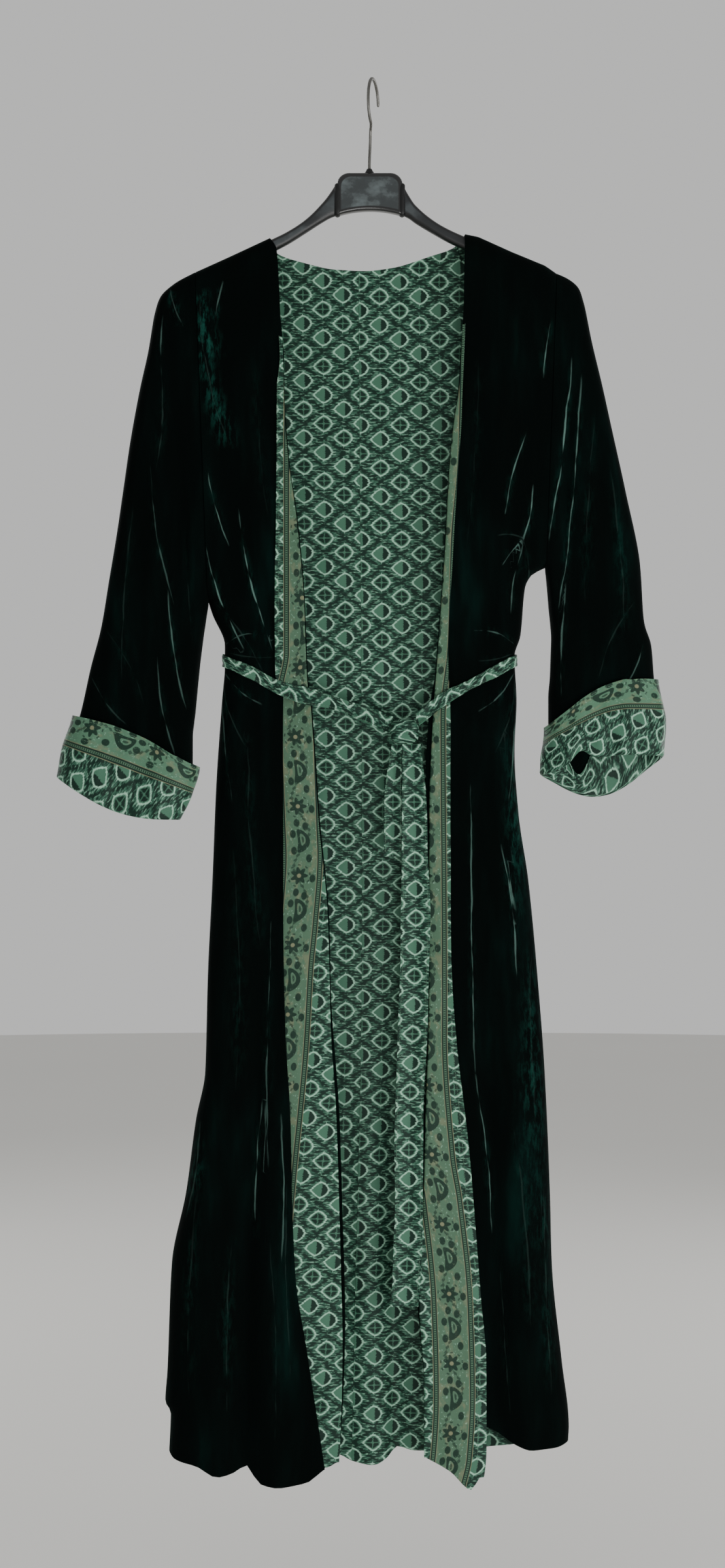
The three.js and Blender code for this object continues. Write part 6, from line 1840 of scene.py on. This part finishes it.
def make_stitching(cell, settings):
    """Rows of stitches, each one row or column in from an edge and stopped short of its ends."""
    facings, belts, cuffs = [], [], []
    for _, side in SIDES:
        grid = facing_grid(side, cell)
        lift = facing_out(grid) * FACING / 2
        facings.append(line_on(grid, lift, column=FACING_STITCH_COLUMN)[:-3])
        outside = cuff_grid(side, cell)[:CUFF_ROWS]
        lift = facing_out(outside, True) * LINING / 2
        cuffs += [line_on(outside, lift, row=row, closed=True) for row in CUFF_STITCH_ROWS]
        grid = belt_front_grid(side)
        lift = facing_out(grid) * BELT / 2
        belts += [line_on(grid, lift, row=row)[4:] for row in (1, -2)]
    for word in TAILS:
        grid = tail_grid(word)
        lift = facing_out(grid) * BELT / 2
        belts += [line_on(grid, lift, column=column)[3:-2] for column in (1, -2)]
        belts.append(line_on(grid, lift, row=-3)[1:-1])
    sew("stitches_facings", facings, settings)
    sew("stitches_cuffs", cuffs, settings)
    sew("stitches_belt", belts, settings)


# ------------------------------------------------------------------ stage

FRAME_WIDTH, FRAME_HEIGHT = 1109, 2400
MM_PER_PIXEL = 0.70
HOOK_PIXEL = (571, 124)
CAMERA_DISTANCE = 2.9
FLOOR_Z, FLOOR_RADIUS, FLOOR_STEPS = -1.66, 7.0, 96
LIGHT_AIM = (0, 0, -0.75)
WORLD_COLOUR, WORLD_STRENGTH = (0.80, 0.80, 0.79, 1), 0.78
STUDIO_LIGHTS = (
    ("key_right", (2.2, -1.6, -1.1), 33, 0.8),
    ("rake_left", (-2.6, -1.5, -0.5), 4, 0.5),
    ("fill_low", (0.45, -1.8, -1.6), 36, 1.2),
    ("back_left", (-1.9, 2.2, 0.4), 30, 1.4),
    ("back_right", (2.0, 2.0, -0.3), 22, 1.4),
)


def make_camera():
    centre_x = (FRAME_WIDTH / 2 - HOOK_PIXEL[0]) * MM_PER_PIXEL * MM
    centre_z = (HOOK_PIXEL[1] - FRAME_HEIGHT / 2) * MM_PER_PIXEL * MM
    data = bpy.data.cameras.new("camera")
    data.sensor_fit = "VERTICAL"
    data.angle = 2 * math.atan(FRAME_HEIGHT * MM_PER_PIXEL * MM / 2 / CAMERA_DISTANCE)
    camera = link("camera", data)
    camera.location = (centre_x, -CAMERA_DISTANCE, centre_z)
    camera.rotation_euler = (math.pi / 2, 0, 0)
    bpy.context.scene.camera = camera


def make_lights():
    target = Vector(LIGHT_AIM)
    for name, place, power, size in STUDIO_LIGHTS:
        data = bpy.data.lights.new(name, "AREA")
        data.energy, data.size = power, size
        light = link(name, data)
        light.location = place
        light.rotation_euler = (target - Vector(place)).to_track_quat("-Z", "Y").to_euler()
    world = bpy.data.worlds.new("studio")
    world.use_nodes = True
    sky = world.node_tree.nodes["Background"].inputs
    sky["Color"].default_value = WORLD_COLOUR
    sky["Strength"].default_value = WORLD_STRENGTH
    bpy.context.scene.world = world


def make_floor_disc():
    angle = circle(FLOOR_STEPS)
    rim = np.stack([FLOOR_RADIUS * np.cos(angle), FLOOR_RADIUS * np.sin(angle), 0 * angle + FLOOR_Z], -1)
    mesh = bpy.data.meshes.new("studio_floor")
    mesh.from_pydata(rim.tolist(), [], [list(range(len(rim)))])
    mesh.materials.append(finish("floor"))
    floor = link("studio_floor", mesh)
    floor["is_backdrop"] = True


# ------------------------------------------------------------------ the add-on

class RobeSettings(bpy.types.PropertyGroup):
    """Sizes and colours that a user would change."""

    cell: bpy.props.FloatProperty(
        name="Cloth cell", description="Size of the squares that the cloth is cut into, in millimetres",
        default=4.2, min=2.5, max=12)
    print_width: bpy.props.FloatProperty(
        name="Print width", description="Distance between columns of the print", default=0.0215,
        unit="LENGTH")
    print_height: bpy.props.FloatProperty(
        name="Print height", description="Distance between motifs down a column", default=0.0308,
        unit="LENGTH")
    border_repeat: bpy.props.FloatProperty(
        name="Border repeat", description="Length of the border's repeat", default=0.074, unit="LENGTH")
    border_width: bpy.props.FloatProperty(
        name="Border width", description="Width of the border between its stripes", default=0.0315,
        unit="LENGTH")
    stripe_width: bpy.props.FloatProperty(
        name="Stripe width", description="Width of each stripe", default=0.0068, unit="LENGTH")
    cuff_border: bpy.props.FloatProperty(
        name="Border on a cuff", description="How much of the border shows above a cuff's stripe",
        default=0.0265, unit="LENGTH")
    stitch_pitch: bpy.props.FloatProperty(
        name="Stitch pitch", description="Distance from stitch to stitch", default=0.0032, unit="LENGTH")
    stitch_length: bpy.props.FloatProperty(
        name="Stitch length", description="Length of one stitch", default=0.0022, unit="LENGTH")
    thread_radius: bpy.props.FloatProperty(
        name="Thread", description="Radius of the sewing thread", default=0.00022, unit="LENGTH")
    velvet_deep: bpy.props.FloatVectorProperty(
        name="Velvet, deep", description="Colour of the standing pile", subtype="COLOR",
        default=colour("#000403"))
    velvet_green: bpy.props.FloatVectorProperty(
        name="Velvet, green", description="Colour where the pile leans", subtype="COLOR",
        default=colour("#010c0a"))
    # Painted highlight colour of the creases' broad crushed patches, partly the pressed pile's own lighter
    # tone.
    velvet_crush_highlight: bpy.props.FloatVectorProperty(
        name="Velvet, crushed", description="Colour where the pile is pressed flat", subtype="COLOR",
        default=colour("#10463c"))
    # Painted highlight colour of the thin glint lines along the creases.
    velvet_glint_highlight: bpy.props.FloatVectorProperty(
        name="Velvet, frosted", description="Colour of the thin lines along the creases", subtype="COLOR",
        default=colour("#6f948a"))
    velvet_sheen: bpy.props.FloatProperty(
        name="Velvet sheen", description="Strength of the pile's edge light", default=0.03, min=0, max=1)
    plastic_grey: bpy.props.FloatVectorProperty(
        name="Block plastic", description="Colour of the hanger's block", subtype="COLOR",
        default=colour("#272d2e"))


class ROBE_OT_back(bpy.types.Operator):
    """Make the velvet back"""

    bl_idname = "robe.back"
    bl_label = "Back"

    def execute(self, context):
        make_back(context.scene.robe.cell)
        return {"FINISHED"}


class ROBE_OT_fronts(bpy.types.Operator):
    """Make the two velvet fronts, the right one with its long pleat"""

    bl_idname = "robe.fronts"
    bl_label = "Fronts"

    def execute(self, context):
        for word, side in SIDES:
            make_front(word, side, context.scene.robe.cell)
        return {"FINISHED"}


class ROBE_OT_linings(bpy.types.Operator):
    """Make the printed back lining in its two halves"""

    bl_idname = "robe.linings"
    bl_label = "Back linings"

    def execute(self, context):
        for word, side in SIDES:
            make_lining(word, side, context.scene.robe.cell)
        return {"FINISHED"}


class ROBE_OT_facings(bpy.types.Operator):
    """Make the bordered facings that are turned out along the fronts"""

    bl_idname = "robe.facings"
    bl_label = "Turned-out facings"

    def execute(self, context):
        for word, side in SIDES:
            make_facing(word, side, context.scene.robe.cell)
        return {"FINISHED"}


class ROBE_OT_sleeves(bpy.types.Operator):
    """Make the hanging velvet sleeves"""

    bl_idname = "robe.sleeves"
    bl_label = "Sleeves"

    def execute(self, context):
        for word, side in SIDES:
            make_sleeve(word, side, context.scene.robe.cell)
        return {"FINISHED"}


class ROBE_OT_cuffs(bpy.types.Operator):
    """Make the turned-back printed cuffs"""

    bl_idname = "robe.cuffs"
    bl_label = "Cuffs"

    def execute(self, context):
        for word, side in SIDES:
            make_cuff(word, side, context.scene.robe.cell)
        return {"FINISHED"}


class ROBE_OT_belt(bpy.types.Operator):
    """Make the tie belt round the body, its knot and its two ends"""

    bl_idname = "robe.belt"
    bl_label = "Tie belt"

    def execute(self, context):
        make_belt()
        make_knot()
        return {"FINISHED"}


class ROBE_OT_hanger(bpy.types.Operator):
    """Make the moulded hanger: block, ribs, arms and collar"""

    bl_idname = "robe.hanger"
    bl_label = "Hanger"

    def execute(self, context):
        for word, side in SIDES:
            make_arm(word, side)
            make_rib(word, side)
        make_block()
        make_collar()
        return {"FINISHED"}


class ROBE_OT_hook(bpy.types.Operator):
    """Make the wire hook"""

    bl_idname = "robe.hook"
    bl_label = "Hook"

    def execute(self, context):
        make_hook()
        return {"FINISHED"}


class ROBE_OT_stitching(bpy.types.Operator):
    """Sew the facings, cuffs and belt"""

    bl_idname = "robe.stitching"
    bl_label = "Stitching"

    def execute(self, context):
        make_stitching(context.scene.robe.cell, context.scene.robe)
        return {"FINISHED"}


class ROBE_OT_stage(bpy.types.Operator):
    """Make the floor, the lights and the camera"""

    bl_idname = "robe.stage"
    bl_label = "Stage"

    def execute(self, context):
        make_floor_disc()
        make_lights()
        make_camera()
        return {"FINISHED"}


PIECES = (
    ROBE_OT_back, ROBE_OT_fronts, ROBE_OT_linings, ROBE_OT_facings, ROBE_OT_sleeves, ROBE_OT_cuffs,
    ROBE_OT_belt, ROBE_OT_hanger, ROBE_OT_hook, ROBE_OT_stitching, ROBE_OT_stage,
)


class ROBE_PT_panel(bpy.types.Panel):
    """Lists the robe's settings and pieces"""

    bl_idname = "ROBE_PT_panel"
    bl_label = "Kimono robe"
    bl_space_type = "VIEW_3D"
    bl_region_type = "UI"
    bl_category = "Robe"

    def draw(self, context):
        for name in RobeSettings.__annotations__:
            self.layout.prop(context.scene.robe, name)
        for piece in PIECES:
            self.layout.operator(piece.bl_idname)


CLASSES = (RobeSettings, *PIECES, ROBE_PT_panel)


def register():
    for each in CLASSES:
        bpy.utils.register_class(each)
    bpy.types.Scene.robe = bpy.props.PointerProperty(type=RobeSettings)


def unregister():
    del bpy.types.Scene.robe
    for each in reversed(CLASSES):
        bpy.utils.unregister_class(each)


def plain(box):
    return [[float(value) for value in corner] for corner in box]


def main():
    register()
    for piece in PIECES:
        group, name = piece.bl_idname.split(".")
        getattr(getattr(bpy.ops, group), name)()
    {"cad": plain(CAD_BOX), "visual": plain(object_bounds())}


if __name__ == "__main__":
    main()
